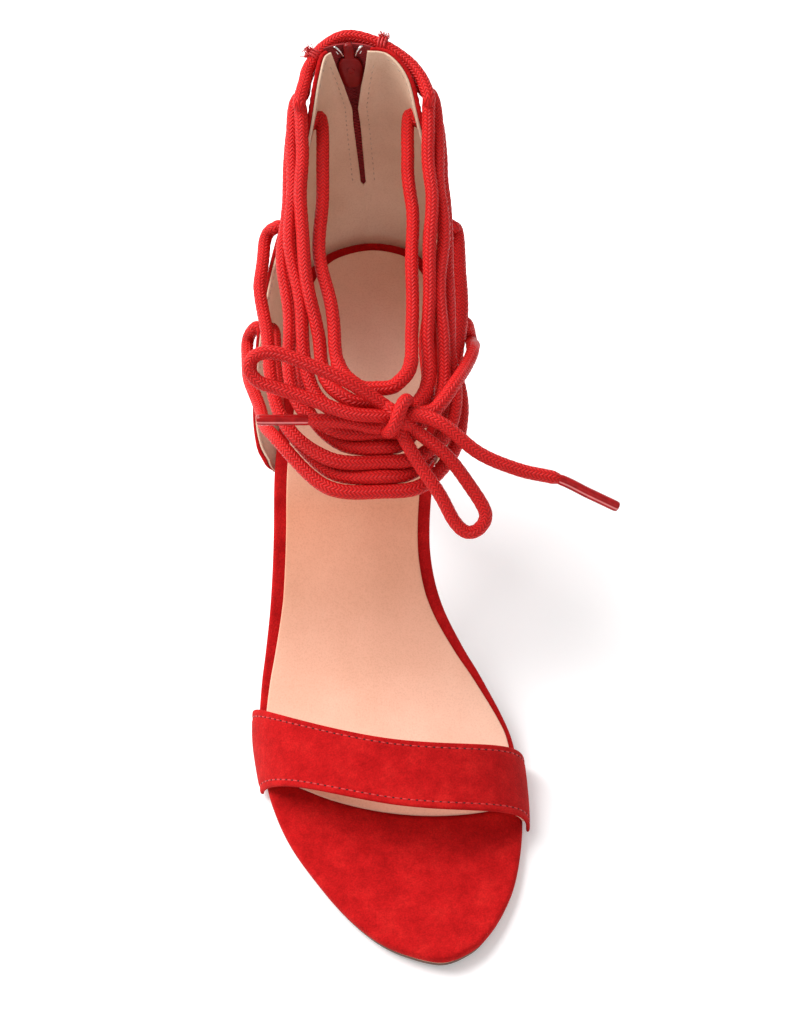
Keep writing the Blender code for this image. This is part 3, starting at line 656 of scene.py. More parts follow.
def quarter_point(share, up):
    """Point on the quarter's inner face; share runs from -1 (lateral front) over 0 (back) to 1."""
    share, up = np.broadcast_arrays(np.asarray(share, float), np.asarray(up, float))
    reach = np.abs(share)
    swell = table_at(reach, quarter_bulge) * up * (1 - up) ** 2 * 27 / 4
    faces = []
    for side in (0, 1):
        station, x, station_out, x_out = bed_rim(side, reach)
        foot = on_bed(station + station_out * seat_gap, x + x_out * seat_gap, -bed_thick)
        columns = [table_at(reach, free_edge[:, (0, number)]) for number in (1 + side, 3, 4)]
        edge = np.stack(columns, axis=-1) + toe
        out = unit(np.stack([x_out, -station_out, np.zeros_like(x_out)], axis=-1))
        above = up * np.linalg.norm(edge - foot, axis=-1)
        push = swell - foot_tuck * share_between(above, tuck_height, 0) ** 2
        faces.append(foot * (1 - up)[..., None] + edge * up[..., None] + out * push[..., None])
    return np.where((share > 0)[..., None], faces[1], faces[0])


def quarter_normal(share, up):
    """Unit normal of the quarter's wall, pointing out of the shoe."""
    step = 0.01
    ahead = quarter_point(np.minimum(share + step, 1), up)
    behind = quarter_point(np.maximum(share - step, -1), up)
    level = np.clip(up, step, 1 - step)
    rise = quarter_point(share, level + step) - quarter_point(share, level - step)
    return unit(np.cross(rise, ahead - behind))


def in_wall(share, up, depth):
    """Point at a depth from the quarter's inner face, measured outwards."""
    return quarter_point(share, up) + quarter_normal(share, up) * np.asarray(depth)[..., None]


def back_frame(up):
    """Middle of the back wall with its upward and outward directions."""
    rise = unit(quarter_point(0, up + 0.01) - quarter_point(0, up - 0.01))
    return in_wall(0, up, wall / 2), rise, np.cross((-1, 0, 0), rise)


def slot_share(sign, ups):
    """Share at which one half of the quarter begins beside the zip, for each height."""
    shares = np.linspace(-0.05, 0.4, 240)
    starts = []
    for up in ups:
        spread = (in_wall(sign * shares, np.full(240, up), wall / 2) - back_frame(up)[0])[:, 0] * sign
        starts.append(np.interp(table_at(up, slot_flare), spread, shares))
    return np.array(starts)


def rolled_in(share, up):
    """How far the wall is bent inwards beside the top of the zip, where each flap folds."""
    rise = share_between(up, *flap_bend)
    fall = share_between(up, *flap_ease)
    beside = np.abs(share) * quarter_reach - table_at(up, slot_flare)
    depth = flap_roll * rise * rise * (3 - 2 * rise) * (1 - 0.4 * fall)
    return depth * share_between(beside, flap_width, 0)


def quarter_sheet(sign, low, high, edge, slot_edge, fold):
    """One layer of one half of the quarter between two depths, held back from its free edges."""
    ups = eased(quarter_height, fold, 64)[:, None]
    across = eased(quarter_reach, fold, 74)[None, :]
    opened = np.clip(table_at(ups, slot_flare) / 0.001, 0, 1)
    start = slot_share(sign, ups[:, 0])[:, None] + opened * slot_edge / quarter_reach
    share = sign * (start + (1 - start) * across)
    height = np.linalg.norm(quarter_point(share, 1) - quarter_point(share, 0), axis=-1)
    level = ups * (1 - edge / height)
    to_rim = np.minimum(ups, 1 - ups) * height
    to_end = np.minimum(across, 1 - across) * quarter_reach
    skive = 1 - foot_skive * share_between(level * height, skive_height, 0) ** 2
    half = (high - low) / 2 * folded(np.minimum(to_rim, to_end), fold) * skive
    middle = (low + high) / 2 * skive - rolled_in(share, level)
    return panel(in_wall(share, level, middle + half), in_wall(share, level, middle - half))


def pins_through(sign):
    """Round punches for the lace holes of one half."""
    shape = bmesh.new()
    for share, up, _ in lace_holes:
        axis = Vector(quarter_normal(sign * share, up))
        turn = axis.to_track_quat("Z", "Y").to_matrix().to_4x4()
        place = Matrix.Translation(Vector(in_wall(sign * share, up, wall / 2))) @ turn
        bmesh.ops.create_cone(shape, cap_ends=True, segments=28, radius1=hole_diameter / 2,
                              radius2=hole_diameter / 2, depth=punch_depth, matrix=place)
    return shape


def punched(piece, shape):
    """Take a cutter out of a piece and keep the result as its mesh."""
    mesh = bpy.data.meshes.new("punch")
    shape.to_mesh(mesh)
    cutter = bpy.data.objects.new("punch", mesh)
    bpy.context.scene.collection.objects.link(cutter)
    step = piece.modifiers.new("punch", "BOOLEAN")
    step.operation = "DIFFERENCE"
    step.object = cutter
    graph = bpy.context.evaluated_depsgraph_get()
    result = bpy.data.meshes.new_from_object(piece.evaluated_get(graph))
    piece.modifiers.clear()
    piece.data = result
    result.set_sharp_from_angle(angle=math.radians(50))
    bpy.data.objects.remove(cutter)
    bpy.data.meshes.remove(mesh)


def joined(shapes):
    """Several shapes in one."""
    whole = bmesh.new()
    for shape in shapes:
        mesh = bpy.data.meshes.new("part")
        shape.to_mesh(mesh)
        shape.free()
        whole.from_mesh(mesh)
        bpy.data.meshes.remove(mesh)
    return whole


def turned_under(side):
    """Margin of one half of the quarter, skived thin and glued under the footbed."""
    station, x, station_out, x_out = bed_rim(side, np.linspace(0, 1, 90))
    outer, inner = margin_reach
    top, bottom = margin_depth
    corners = []
    for reach, depth in ((outer, top), (outer, bottom), (inner, bottom), (inner, top)):
        corners.append(on_bed(station + station_out * reach, x + x_out * reach, -bed_thick - depth))
    return loft(np.stack(corners, axis=1))


nude_thread = thread_finish("nude_thread", (0.34, 0.22, 0.16), (0.62, 0.45, 0.34))
lining = nude_finish("nude_lining", (0.65, 0.44, 0.31), (0.74, 0.52, 0.375), (0.80, 0.585, 0.43))
outer_threads = bmesh.new()
inner_threads = bmesh.new()
for side_name, sign in (("lateral", -1), ("medial", 1)):
    cutter = pins_through(sign)
    half_suede = add_piece(f"quarter_{side_name}_suede", quarter_sheet(
        sign, lining_thick + lining_gap, wall, 0.0, 0.0004, 0.0009), suede)
    punched(half_suede, cutter)
    if sign < 0:
        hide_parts("heel_quarter")
    half_lining = add_piece(f"quarter_{side_name}_lining", quarter_sheet(
        sign, 0, lining_thick, 0.0003, -0.0002, 0.0004), lining)
    punched(half_lining, cutter)
    cutter.free()
    edge_share = sign * np.linspace(slot_share(sign, [0.97])[0] + 0.03, 0.985, 400)
    edge_height = np.linalg.norm(quarter_point(edge_share, 1) - quarter_point(edge_share, 0), axis=-1)
    edge_up = 1 - edge_stitch_in / edge_height
    slot_up = np.linspace(0.31, 0.965, 300)
    slot_line = sign * (slot_share(sign, slot_up) + slot_stitch_in / quarter_reach)
    for share, up, roll, inner_stitch in (
        (edge_share, edge_up, 0.0, lining_stitch),
        (slot_line, slot_up, rolled_in(slot_line, slot_up), slot_lining_stitch),
    ):
        out = quarter_normal(share, up)
        stitch_row(outer_threads, in_wall(share, up, wall - roll), out, quarter_stitch)
        stitch_row(inner_threads, in_wall(share, up, -roll), -out, inner_stitch)
quarter_margin = add_piece("quarter_margin", joined([turned_under(0), turned_under(1)]), suede)
quarter_threads = add_piece("quarter_stitches", outer_threads, red_thread)
lining_threads = add_piece("quarter_lining_stitches", inner_threads, nude_thread)

# Zip: two woven tapes with a sewn coil in the back seam, closed up to a lacquered slider.
# The slider's crown holds a loose pull tab on the outside, and nickel stops end the coil above.
zip_top = 0.80
tape_thick = 0.0005
tape_lap = 0.0010
tape_sink = 0.0007
coil_pitch = 0.00065
tooth_sizes = (0.0026, 0.0008, 0.0014)
slider_top = 0.955
slider_length = 0.0110
slider_width = 0.0070
chain_inside = 0.0010
plate_thick = 0.0010
crown_span = (0.0022, 0.0088)
crown_height = 0.0030
pull_length = 0.0180
pull_width = 0.0052
pull_thick = 0.0012
pull_window = 0.0036


def tape_finish():
    """Woven polyester tape: fine ribs across, with painted shade between them."""
    finish = new_finish("zip_tape", (0.38, 0.010, 0.014), 0.8)
    coords = add_node(finish, "ShaderNodeTexCoord", {})
    ribs = add_node(finish, "ShaderNodeTexWave", {
        "Vector": coords.outputs["Object"], "Scale": 480, "Distortion": 0.6})
    ribs.bands_direction = "Z"
    # The ribs' colour is painted shade: darker between the ribs, where the wave is low
    rib_painted_shade = colour_ramp(finish, ribs.outputs["Fac"], (
        (0.1, (0.17, 0.003, 0.005)), (0.7, (0.30, 0.007, 0.009))))
    on_shader(finish, {"Base Color": rib_painted_shade})
    raised(finish, ribs.outputs["Fac"], 0.4, 0.0002)
    return finish


def lacquer_finish(name, colour, light, roughness, metallic):
    """Painted or plated metal with faint wear."""
    return mottled_finish(
        name, colour, roughness, (420, 4), ((0.35, colour), (0.80, light)), (900, 2, 0.08, 0.0002),
        {"Metallic": metallic, "Specular IOR Level": 0.2, "Coat Weight": 0.06, "Coat Roughness": 0.15})


def tape_edge(up):
    """Distance of a tape's inner edge from the middle of the zip."""
    return np.interp(up, (zip_top, 0.93, 1.0), (0.0003, 0.0007, 0.0010))


def tape_sheet(sign):
    """One tape from the coil to the edge of the quarter."""
    ups = np.linspace(zip_bottom - 0.03, 1.0, 70)
    faces = [[], []]
    for up in ups:
        middle, _, out = back_frame(up)
        inner = tape_edge(up)
        outer = max(table_at(up, slot_flare) + tape_lap, inner + 0.0004)
        share = np.array([0, 0.04, 0.2, 0.4, 0.6, 0.8, 0.96, 1.0])
        across = np.array([(sign * (inner + (outer - inner) * part), 0, 0) for part in share])
        bulk = tape_thick / 2 * np.array([0, 0.8, 1, 1, 1, 1, 0.8, 0])[:, None]
        sink = (tape_sink + rolled_in(outer / quarter_reach, up)) * share**2
        sunk = middle + across - out * sink[:, None]
        faces[0].append(sunk + out * bulk)
        faces[1].append(sunk - out * bulk)
    return panel(np.array(faces[0]), np.array(faces[1]))


def coil():
    """Teeth of the coil: joined below the slider, one row on each tape above it."""
    shape = bmesh.new()
    height = np.linalg.norm(quarter_point(0, 1) - quarter_point(0, 0))
    pitch = coil_pitch / height
    for number, up in enumerate(np.arange(zip_bottom - 0.02, 0.965, pitch)):
        middle, rise, out = back_frame(up)
        sign = 1 if number % 2 else -1
        side = np.array([sign * (tape_edge(up) + 0.0003), 0, 0])
        bmesh.ops.create_icosphere(shape, subdivisions=2, radius=1, matrix=bar_matrix(
            middle + side, (1, 0, 0), rise, out, tooth_sizes))
    return shape


def even_path(route, spacing):
    """Evenly spaced points along a smooth route."""
    fine = smooth_line(route, 24)
    length = lengths_along(fine)[-1]
    return points_at(fine, np.linspace(0, length, round(length / spacing) + 1))


def tube(path, radius, sides, relief=0.0):
    """Rings round a path, carried along it without twist, with the chevrons of a braid as relief."""
    ahead = unit(np.gradient(path, axis=0))
    along = lengths_along(path)
    radius = np.broadcast_to(radius, len(path))
    turn = np.arange(sides) / sides
    side = np.cross(ahead[0], (0.31, 0.22, 0.92))
    rings = []
    for point, heading, place, size in zip(path, ahead, along, radius):
        side = unit(side - heading * (side @ heading))
        other = np.cross(heading, side)
        wave = np.sin(2 * math.pi * (place / 0.0022 + 0.9 * np.abs((8 * turn) % 2 - 1)))
        reach = (size + relief * wave)[:, None]
        ring = np.outer(np.cos(2 * math.pi * turn), side) + np.outer(np.sin(2 * math.pi * turn), other)
        rings.append(point + ring * reach)
    return loft(np.array(rings), along)


def slider_frame():
    """Top of the slider in the back wall, with its downward and outward directions."""
    middle, rise, out = back_frame(slider_top)
    return middle, -rise, out


def rounded_plate(half_width, start, end, low, high, taper, squareness):
    """Plate with rounded corners and edges, between two depths in the slider's frame."""
    top, down, out = slider_frame()
    x, along = squared_round(48, squareness)
    edge = min(0.00025, (high - low) / 3)
    rings = []
    for depth, inset in ((low, edge), (low + edge * 0.3, edge * 0.3), (low + edge, 0),
                         (high - edge, 0), (high - edge * 0.3, edge * 0.3), (high, edge)):
        half = (end - start) / 2 - inset
        drop = (start + end) / 2 + along * half
        wide = (half_width - inset) * (1 - taper * (drop - start) / (end - start))
        rings.append(top + np.outer(drop, down) + out * depth + np.outer(x * wide, (1, 0, 0)))
    return loft(np.array(rings))


def bent_strip(points, half_width, half_thick):
    """Strip bent in the slider's frame, through points of (distance down, distance out)."""
    top, down, out = slider_frame()
    line = smooth_line(points, 8)
    ahead = unit(np.gradient(line, axis=0))
    turn = np.linspace(0, 2 * math.pi, 20, endpoint=False)
    rings = []
    for (drop, depth), (fall, stand) in zip(line, ahead):
        square = down * -stand + out * fall
        wide = np.outer(np.cos(turn) * half_width, (1, 0, 0))
        deep = np.outer(np.sin(turn) * half_thick, square)
        rings.append(top + down * drop + out * depth + (wide + deep))
    return loft(np.array(rings))


zip_tape = tape_finish()
lacquer = lacquer_finish("red_lacquer", (0.19, 0.003, 0.003), (0.27, 0.006, 0.006), 0.34, 0.0)
nickel = lacquer_finish("nickel_plate", (0.62, 0.60, 0.57), (0.75, 0.74, 0.72), 0.22, 1.0)
tapes = add_piece("zip_tapes", joined([tape_sheet(-1), tape_sheet(1)]), zip_tape)
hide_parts("zip_chain")
teeth = add_piece("zip_coil", coil(), zip_tape)
outside = chain_inside + plate_thick
# Inner and outer plate, rivet, wedge between the plates and tongue:
# half width, start, end, inner and outer depth, taper, squareness
slider_plates = (
    (slider_width / 2 + 0.0004, 0, slider_length, -outside, -chain_inside, 0.22, 2.5),
    (slider_width / 2, 0, slider_length, chain_inside, outside, 0.26, 2.5),
    (0.0011, 0.0034, 0.0056, -outside - 0.0002, -outside + 0.0003, 0.0, 2.0),
    (0.0016, 0.0004, 0.0040, -outside + 0.0003, outside - 0.0003, 0.5, 3.0),
    (0.0014, -0.0046, 0.0014, -outside + 0.0001, -chain_inside + 0.0006, 0.0, 3.4),
)
crown_start, crown_end = crown_span
crown_way = (
    (crown_start, outside - 0.0004), (crown_start + 0.0001, outside + crown_height * 0.55),
    (crown_start + 0.0013, outside + crown_height - 0.0005),
    (crown_end - 0.0013, outside + crown_height - 0.0005),
    (crown_end - 0.0001, outside + crown_height * 0.55), (crown_end, outside - 0.0004),
)
slider_shapes = [rounded_plate(*plate) for plate in slider_plates]
slider_shapes.append(bent_strip(crown_way, 0.0008, 0.00045))
slider = add_piece("zip_slider_body", joined(slider_shapes), lacquer)
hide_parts("zip_slider")
stop_shapes = []
for sign in (-1, 1):
    stop_middle, stop_rise, stop_out = back_frame(0.978)
    stop_way = []
    for across, rise in ((-0.0007, -0.0013), (-0.0008, 0.0002), (-0.0005, 0.0011), (0.0, 0.0014),
                         (0.0005, 0.0011), (0.0008, 0.0002), (0.0007, -0.0013)):
        tilt = sign * rise * 0.5
        stop_way.append(stop_middle + (sign * 0.0031 + across + tilt, 0, 0) + stop_rise * rise
                        - stop_out * (0.0009 - sign * across * 0.6))
    stop_shapes.append(tube(even_path(stop_way, 0.0003), 0.00032, 12))
top_stops = add_piece("zip_top_stops", joined(stop_shapes), nickel)
pull_drop = sum(crown_span) / 2
pull_depth = outside + (crown_height - 0.0010) / 2
pull_tab = add_piece("zip_pull_tab", rounded_plate(
    pull_width / 2, pull_drop - pull_thick / 2, pull_drop + pull_length,
    pull_depth - pull_thick / 2, pull_depth + pull_thick / 2, 0.0, 5.0), lacquer, "pull")
window = rounded_plate(0.0014, pull_drop + pull_thick / 2, pull_drop + pull_thick / 2 + pull_window,
                       pull_depth - 0.003, pull_depth + 0.003, 0.0, 4.0)
punched(pull_tab, window)
window.free()
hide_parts("zip_pull")

# Lace: one round braided cord of waxed cotton, about 3.6 mm thick, through all six holes.
# It crosses the instep in eight rows and turns twice round the back of the ankle before it is tied.
cord = 0.0036
cord_bulk = 0.00187
row_first = np.array([-0.0015, 0.1175, 0.1150])
row_last = np.array([-0.0015, 0.0975, 0.0948])
# How far each row runs to the lateral and the medial side, and how deep it dives there
row_turns = (
    (0.0110, 0.0105, 0.0), (0.0150, 0.0, 0.0), (0.0187, 0.0146, 0.0), (0.0232, 0.0186, 0.0),
    (0.0200, 0.0140, 0.0044), (0.0268, 0.0216, 0.0), (0.0250, 0.0190, 0.0044), (0.0276, 0.0228, 0.0),
)
upper_turn = (
    (0.0, 0.992, 0.0), (0.08, 0.968, -0.0003), (0.15, 0.955, -0.0002), (0.21, 0.972, -0.0003),
    (0.27, 1.008, -0.0001), (0.31, 1.038, -0.0003), (0.36, 1.058, -0.0019),
)
lower_turn = (
    (0.0, 0.945, 0.0040), (0.08, 0.922, 0.0026), (0.15, 0.904, 0.0006), (0.21, 0.911, 0.0),
    (0.31, 0.952, 0.0012),
)
over_strand = (
    (0.0273, 0.1385, 0.1087), (0.0240, 0.1280, 0.1122), (0.0198, 0.1185, 0.1146),
    (0.0164, 0.1136, 0.1134), (0.0132, 0.1108, 0.1121),
)
# How far behind its row a strand turns, for the first and the last row, and how far above it
corner_back = (0.0106, 0.0166)
corner_rise = 0.0035
strand_sag = (0, -0.0040, -0.0020)
lateral_slack = (0.0020, 0, 0)
knot_middle = np.array([0.0034, 0.1075, 0.1140]) + toe
knot_half = np.array([0.0056, 0.0050, 0.0042])
lace_clear = 0.0005
turn_depth = wall + 2 * lace_clear + cord / 2
# Lengthwise reach of the free strands, and how far they take to settle at its ends
lace_free = (0.012, 0.074)
lace_ease = 0.014
# Wave length and reach of the strands' waver: side by side, one by one, and up and down
wavers = ((0.046, 0.0007), (0.031, 0.0004), (0.037, 0.0004))
row_bulk = 0.00018
rows_lean = unit(row_first - row_last)
rows_off = np.cross((1, 0, 0), rows_lean)


def lace_end(sign, number, face):
    """Start of a strand at a lace hole, on one face of the wall."""
    share, up, up_past = lace_holes[number - 1]
    if face == "in":
        return [in_wall(sign * share, up, -lace_clear - cord / 2)]
    depth = wall + lace_clear + cord / 2
    return [in_wall(sign * share, up, depth), in_wall(sign * (share + 0.07), up_past, depth + 0.0012)]


def lace_hole(sign, number):
    """Middle of a lace hole."""
    share, up, _ = lace_holes[number - 1]
    return [in_wall(sign * share, up, wall / 2)]


def lace_row(number):
    """Middle of one row over the instep."""
    return row_first + (row_last - row_first) * (number - 1) / 7 + toe


def strand_side(row, sign, start):
    """Way of one strand from where it leaves the upper to the middle of its row."""
    lateral, medial, dive = row_turns[row - 1]
    spread = -lateral if sign < 0 else medial
    sink = rows_off * dive
    back = np.interp(row, (1, 8), corner_back)
    corner = lace_row(row) + (spread, back, corner_rise) - sink
    side = (start[-1] + corner) / 2 + strand_sag
    if sign < 0:
        side = side - lateral_slack
    near = lace_row(row) + (spread * 0.55, back * 0.12, corner_rise * 0.17) - sink * 0.6
    return [*start, side, corner, near]


def lace_bar(row, lateral, medial):
    """Way of one strand across the instep, from its lateral to its medial hole."""
    left = strand_side(row, -1, lace_end(-1, *lateral))
    right = strand_side(row, 1, lace_end(1, *medial))
    return [*left, lace_row(row), *right[::-1]]


def back_turn(places):
    """Way of one turn round the back of the ankle, from the lateral to the medial side."""
    lateral = [in_wall(-share, up, turn_depth + more) for share, up, more in places[:0:-1]]
    return [*lateral, *[in_wall(share, up, turn_depth + more) for share, up, more in places]]


def knot_root(heading):
    """Where a cord that heads a given way leaves the knot."""
    heading = unit(np.array(heading))
    axes = np.array([(1, 0, 0), rows_lean, rows_off])
    return knot_middle + heading * (1 / np.linalg.norm(axes @ heading / knot_half) + 0.0011)


def lace_route():
    """The whole lace from the knot through all the holes, twice round the back and to the knot again."""
    upper, lower = back_turn(upper_turn), back_turn(lower_turn)
    over = np.array(over_strand) + toe
    way = [knot_middle, knot_root((10, 4, -3)), *over[::-1]]
    way += [*lace_end(1, 3, "out")[::-1], *lace_hole(1, 3)]
    way += [*lace_bar(7, (3, "in"), (3, "in"))[::-1], *lace_hole(-1, 3)]
    way += [*lace_bar(8, (3, "out"), (2, "out")), *lace_hole(1, 2)]
    way += [*lace_bar(5, (2, "in"), (2, "in"))[::-1], *lace_hole(-1, 2)]
    way += [*lace_bar(6, (2, "out"), (1, "out")), *lace_hole(1, 1)]
    way += [*lace_bar(1, (1, "in"), (1, "in"))[::-1], *lace_hole(-1, 1)]
    way += [*strand_side(4, -1, lace_end(-1, 1, "out")), lace_row(4)]
    way += [*strand_side(4, 1, lower[-1:])[::-1], *lower[-2:0:-1]]
    way += [*strand_side(3, -1, lower[:1]), lace_row(3)]
    way += [*strand_side(3, 1, upper[-1:])[::-1], *upper[-2:0:-1], *strand_side(2, -1, upper[:1])]
    return [*way, lace_row(2), knot_middle]


def wavering(path):
    """The lace's way with its free strands wavering a little between the holes and the instep."""
    along = lengths_along(path)
    first, last = lace_free
    free = share_between(path[:, 1], first, first + lace_ease)
    free = free * share_between(path[:, 1], last, last - lace_ease)
    for sign in (-1, 1):
        for number in (1, 2, 3):
            from_hole = np.linalg.norm(path - lace_hole(sign, number)[0], axis=1)
            free = np.minimum(free, share_between(from_hole, 0.008, 0.018))
    shared, single, upright = wavers
    together = np.sin(2 * math.pi * path[:, 1] / shared[0] + 0.6) * np.sign(path[:, 0]) * shared[1]
    alone = np.sin(2 * math.pi * along / single[0]) * single[1]
    rise = np.sin(2 * math.pi * along / upright[0]) * upright[1]
    return path + free[:, None] * np.stack([together + alone, np.zeros_like(along), rise], axis=1)


def braided(path, radius):
    """Braided cord along a path."""
    return tube(path, radius, 24, 0.00004)


def maths(finish, operation, *values):
    """Result of one math node on outputs and numbers."""
    node = finish.node_tree.nodes.new("ShaderNodeMath")
    node.operation = operation
    on_sockets(finish, node, dict(enumerate(values)))
    return node.outputs["Value"]


def cord_coords(finish):
    """Turn round a cord and distance along it, from its own UV map."""
    coords = add_node(finish, "ShaderNodeUVMap", {})
    coords.uv_map = "UVMap"
    split = add_node(finish, "ShaderNodeSeparateXYZ", {"Vector": coords.outputs["UV"]})
    return split.outputs["X"], split.outputs["Y"]


def cotton_finish():
    """Waxed cotton braid: herringbone by the cord's own turn and length, with painted shade between the
    strands, painted highlights on their crowns and a faint gloss.
    """
    finish = new_finish("waxed_cotton", (0.55, 0.006, 0.008), 0.5)
    around, along = cord_coords(finish)
    columns = maths(finish, "MULTIPLY", around, 12)
    slant = maths(finish, "MULTIPLY", maths(finish, "PINGPONG", columns, 1.0), 2 * math.pi * 0.9)
    phase = maths(finish, "MULTIPLY_ADD", along, 2 * math.pi / 0.0011, slant)
    strand = maths(finish, "MULTIPLY_ADD", maths(finish, "SINE", phase), 0.5, 0.5)
    crown = maths(finish, "MULTIPLY_ADD", maths(finish, "PINGPONG", columns, 0.5), 1.2, 0.4)
    lift = maths(finish, "MULTIPLY", strand, crown)
    # The braid's colour follows the strands' height: painted shade in the gaps between strands, painted
    # highlights on their crowns
    braid = colour_ramp(finish, lift, (
        (0.05, (0.46, 0.004, 0.004)), (0.85, (0.80, 0.014, 0.012)), (0.40, (0.66, 0.008, 0.008))))
    shade = colour_ramp(finish, object_noise(finish, 160, 3), (
        (0.30, (0.84, 0.78, 0.78)), (0.70, white)))
    on_shader(finish, {
        "Base Color": mixed(finish, "MULTIPLY", 0.7, braid, shade), "Specular IOR Level": 0.2,
        "Sheen Weight": 0.04, "Sheen Tint": (1.0, 0.15, 0.12, 1)})
    strands = raised(finish, lift, 0.7, 0.0005)
    raised(finish, object_noise(finish, 4200, 2), 0.2, 0.0002, strands)
    return finish


cotton = cotton_finish()
lace_path = wavering(even_path(lace_route(), 0.00045))
from_middle = np.abs(lace_path[:, 0] - row_first[0])
in_rows = share_between(from_middle, 0.021, 0.015) * (lace_path[:, 1] < 0.020)
lace = add_piece("lace", braided(lace_path, cord_bulk + row_bulk * in_rows), cotton)
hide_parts("lace_bar_1", "lace_bar_5", "lace_bar_6", "lace_bar_7", "lace_bar_8",
            "lace_turn_lower", "lace_turn_upper", "lace_over_strand")

# Keepers: two short ends of thread wound round the upper turn beside the zip, their ends frayed.
# They hold the lace at the collar and are sewn through it by hand.
chance = np.random.default_rng(7)
keeper_hairs = 26
keeper_bulk = cord_bulk + 0.00018
keeper_thread = 0.00036
hair_thread = 0.00013
keeper_shapes = []
for keeper_share, keeper_up in ((-0.115, 0.960), (0.085, 0.967)):
    keeper_spots = in_wall(keeper_share + np.array([-0.01, 0, 0.01]), np.full(3, keeper_up), turn_depth)
    keeper_along = unit(keeper_spots[2] - keeper_spots[0])
    keeper_out = quarter_normal(keeper_share, keeper_up)
    keeper_rise = np.cross(keeper_along, keeper_out)
    keeper_rise *= np.sign(keeper_rise[2])
    wound = []
    for angle in np.linspace(0, 5 * math.pi, 41):
        around = keeper_out * math.cos(angle) + keeper_rise * math.sin(angle)
        shift = keeper_along * (angle / math.pi - 2.5) * 0.00045
        wound.append(keeper_spots[1] + shift + around * keeper_bulk)
    keeper_shapes.append(tube(even_path(wound, 0.0004), keeper_thread, 10))
    for _ in range(keeper_hairs):
        lean = chance.normal(0, 0.45, 3)
        heading = unit(keeper_out * 0.5 + keeper_rise * 0.7 + lean)
        reach = chance.uniform(0.0009, 0.0024)
        root = keeper_spots[1] + keeper_along * chance.normal(0, 0.0006) + (
            keeper_out * 0.45 + keeper_rise * 0.75) * cord_bulk
        curl = chance.normal(0, 0.0004, 3)
        hair = [root, root + heading * reach * 0.5 + curl, root + heading * reach]
        keeper_shapes.append(tube(even_path(hair, 0.0004), hair_thread, 6))
keepers = add_piece("lace_keeper_threads", joined(keeper_shapes), red_thread)

# Bow: the lace's two ends tied in one knot, with a loop and a free end to each side.
# A clear film is rolled and shrunk on each end, so that the dark cord shows through it.
loops = (
    ("lace_loop_lateral", ((-10, 5, 7), (-11.5, -1, 2)), (
        (-0.0100, 0.1130, 0.1225), (-0.0200, 0.1165, 0.1258), (-0.0290, 0.1193, 0.1280),
        (-0.0345, 0.1192, 0.1272), (-0.0362, 0.1170, 0.1247), (-0.0340, 0.1146, 0.1221),
        (-0.0290, 0.1132, 0.1207), (-0.0203, 0.1108, 0.1185), (-0.0100, 0.1075, 0.1160))),
    ("lace_loop_medial", ((3, -8, -8), (9, -5, -6)), (
        (0.0088, 0.0985, 0.1045), (0.0143, 0.0925, 0.0980), (0.0181, 0.0882, 0.0917),
        (0.0215, 0.0864, 0.0890), (0.0251, 0.0872, 0.0895), (0.0268, 0.0900, 0.0927),
        (0.0226, 0.0948, 0.0988), (0.0162, 0.1000, 0.1060))),
)
ends = (
    ("lateral", (-10, -1.5, -6), ((-0.0105, 0.1083, 0.1117), (-0.0206, 0.1089, 0.1123)),
     (-0.0348, 0.1096, 0.1124)),
    ("medial", (10, -1.5, 1), ((0.0160, 0.1040, 0.1133), (0.0254, 0.0990, 0.1070),
                               (0.0364, 0.0965, 0.1024), (0.0471, 0.0952, 0.0996)),
     (0.0636, 0.0907, 0.0921)),
)
tip_diameter = 0.0028
film_thick = 0.00010
covered_bulk = 0.00118
film_mouth = (0.00136, 0.00146)
film_nose = (0.00146, 0.00135, 0.00108)


def knot_wrap(along, across, reach, spread):
    """Strand that crosses the knot one way and curls in behind it."""
    way = []
    for angle in np.radians(np.linspace(-125, 125, 11)):
        side = along * spread * math.sin(angle) + across * spread * 0.12 * math.sin(2 * angle)
        way.append(knot_middle + side + rows_off * (reach * math.cos(angle) - 0.0006))
    return even_path(way, 0.0005)


def in_knot(root):
    """Hidden end of a cord inside the knot, behind the place where it leaves."""
    return knot_middle + (root - knot_middle) * 0.4


slant_way = -0.56 * np.array([1, 0, 0]) - 0.83 * rows_lean
cross_way = 0.83 * np.array([1, 0, 0]) - 0.56 * rows_lean
knot = add_piece("lace_knot_wraps", joined([
    braided(knot_wrap(slant_way, cross_way, 0.0046, 0.0050), cord_bulk),
    braided(knot_wrap(cross_way, slant_way, 0.0024, 0.0044), cord_bulk),
]), cotton)
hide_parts("lace_knot")
for name, headings, points in loops:
    roots = [knot_root(heading) for heading in headings]
    route = [in_knot(roots[0]), roots[0], *(np.array(points) + toe), roots[1], in_knot(roots[1])]
    path = even_path(route, 0.0005)
    loop = add_piece(f"{name}_cord", braided(path, cord_bulk), cotton)
    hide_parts(name)
film = new_finish("lace_film", (0.34, 0.004, 0.006), 0.25)
streaks = colour_ramp(film, object_noise(film, 700, 3), (
    (0.35, (0.27, 0.002, 0.003)), (0.70, (0.42, 0.005, 0.006))))
# Two narrow pale stripes along opposite sides of each tip are painted highlights
film_turn = maths(film, "MULTIPLY", cord_coords(film)[0], 2 * math.pi)
painted_highlight_stripes = colour_ramp(film, maths(film, "ABSOLUTE", maths(film, "SINE", film_turn)), (
    (0.08, (0.42, 0.20, 0.19)), (0.22, (0.0, 0.0, 0.0))))
on_shader(film, {
    "Base Color": mixed(film, "ADD", 1.0, streaks, painted_highlight_stripes), "Specular IOR Level": 0.2,
    "Coat Weight": 0.1, "Coat Roughness": 0.06})
raised(film, object_noise(film, 1200, 2), 0.1, 0.0002)
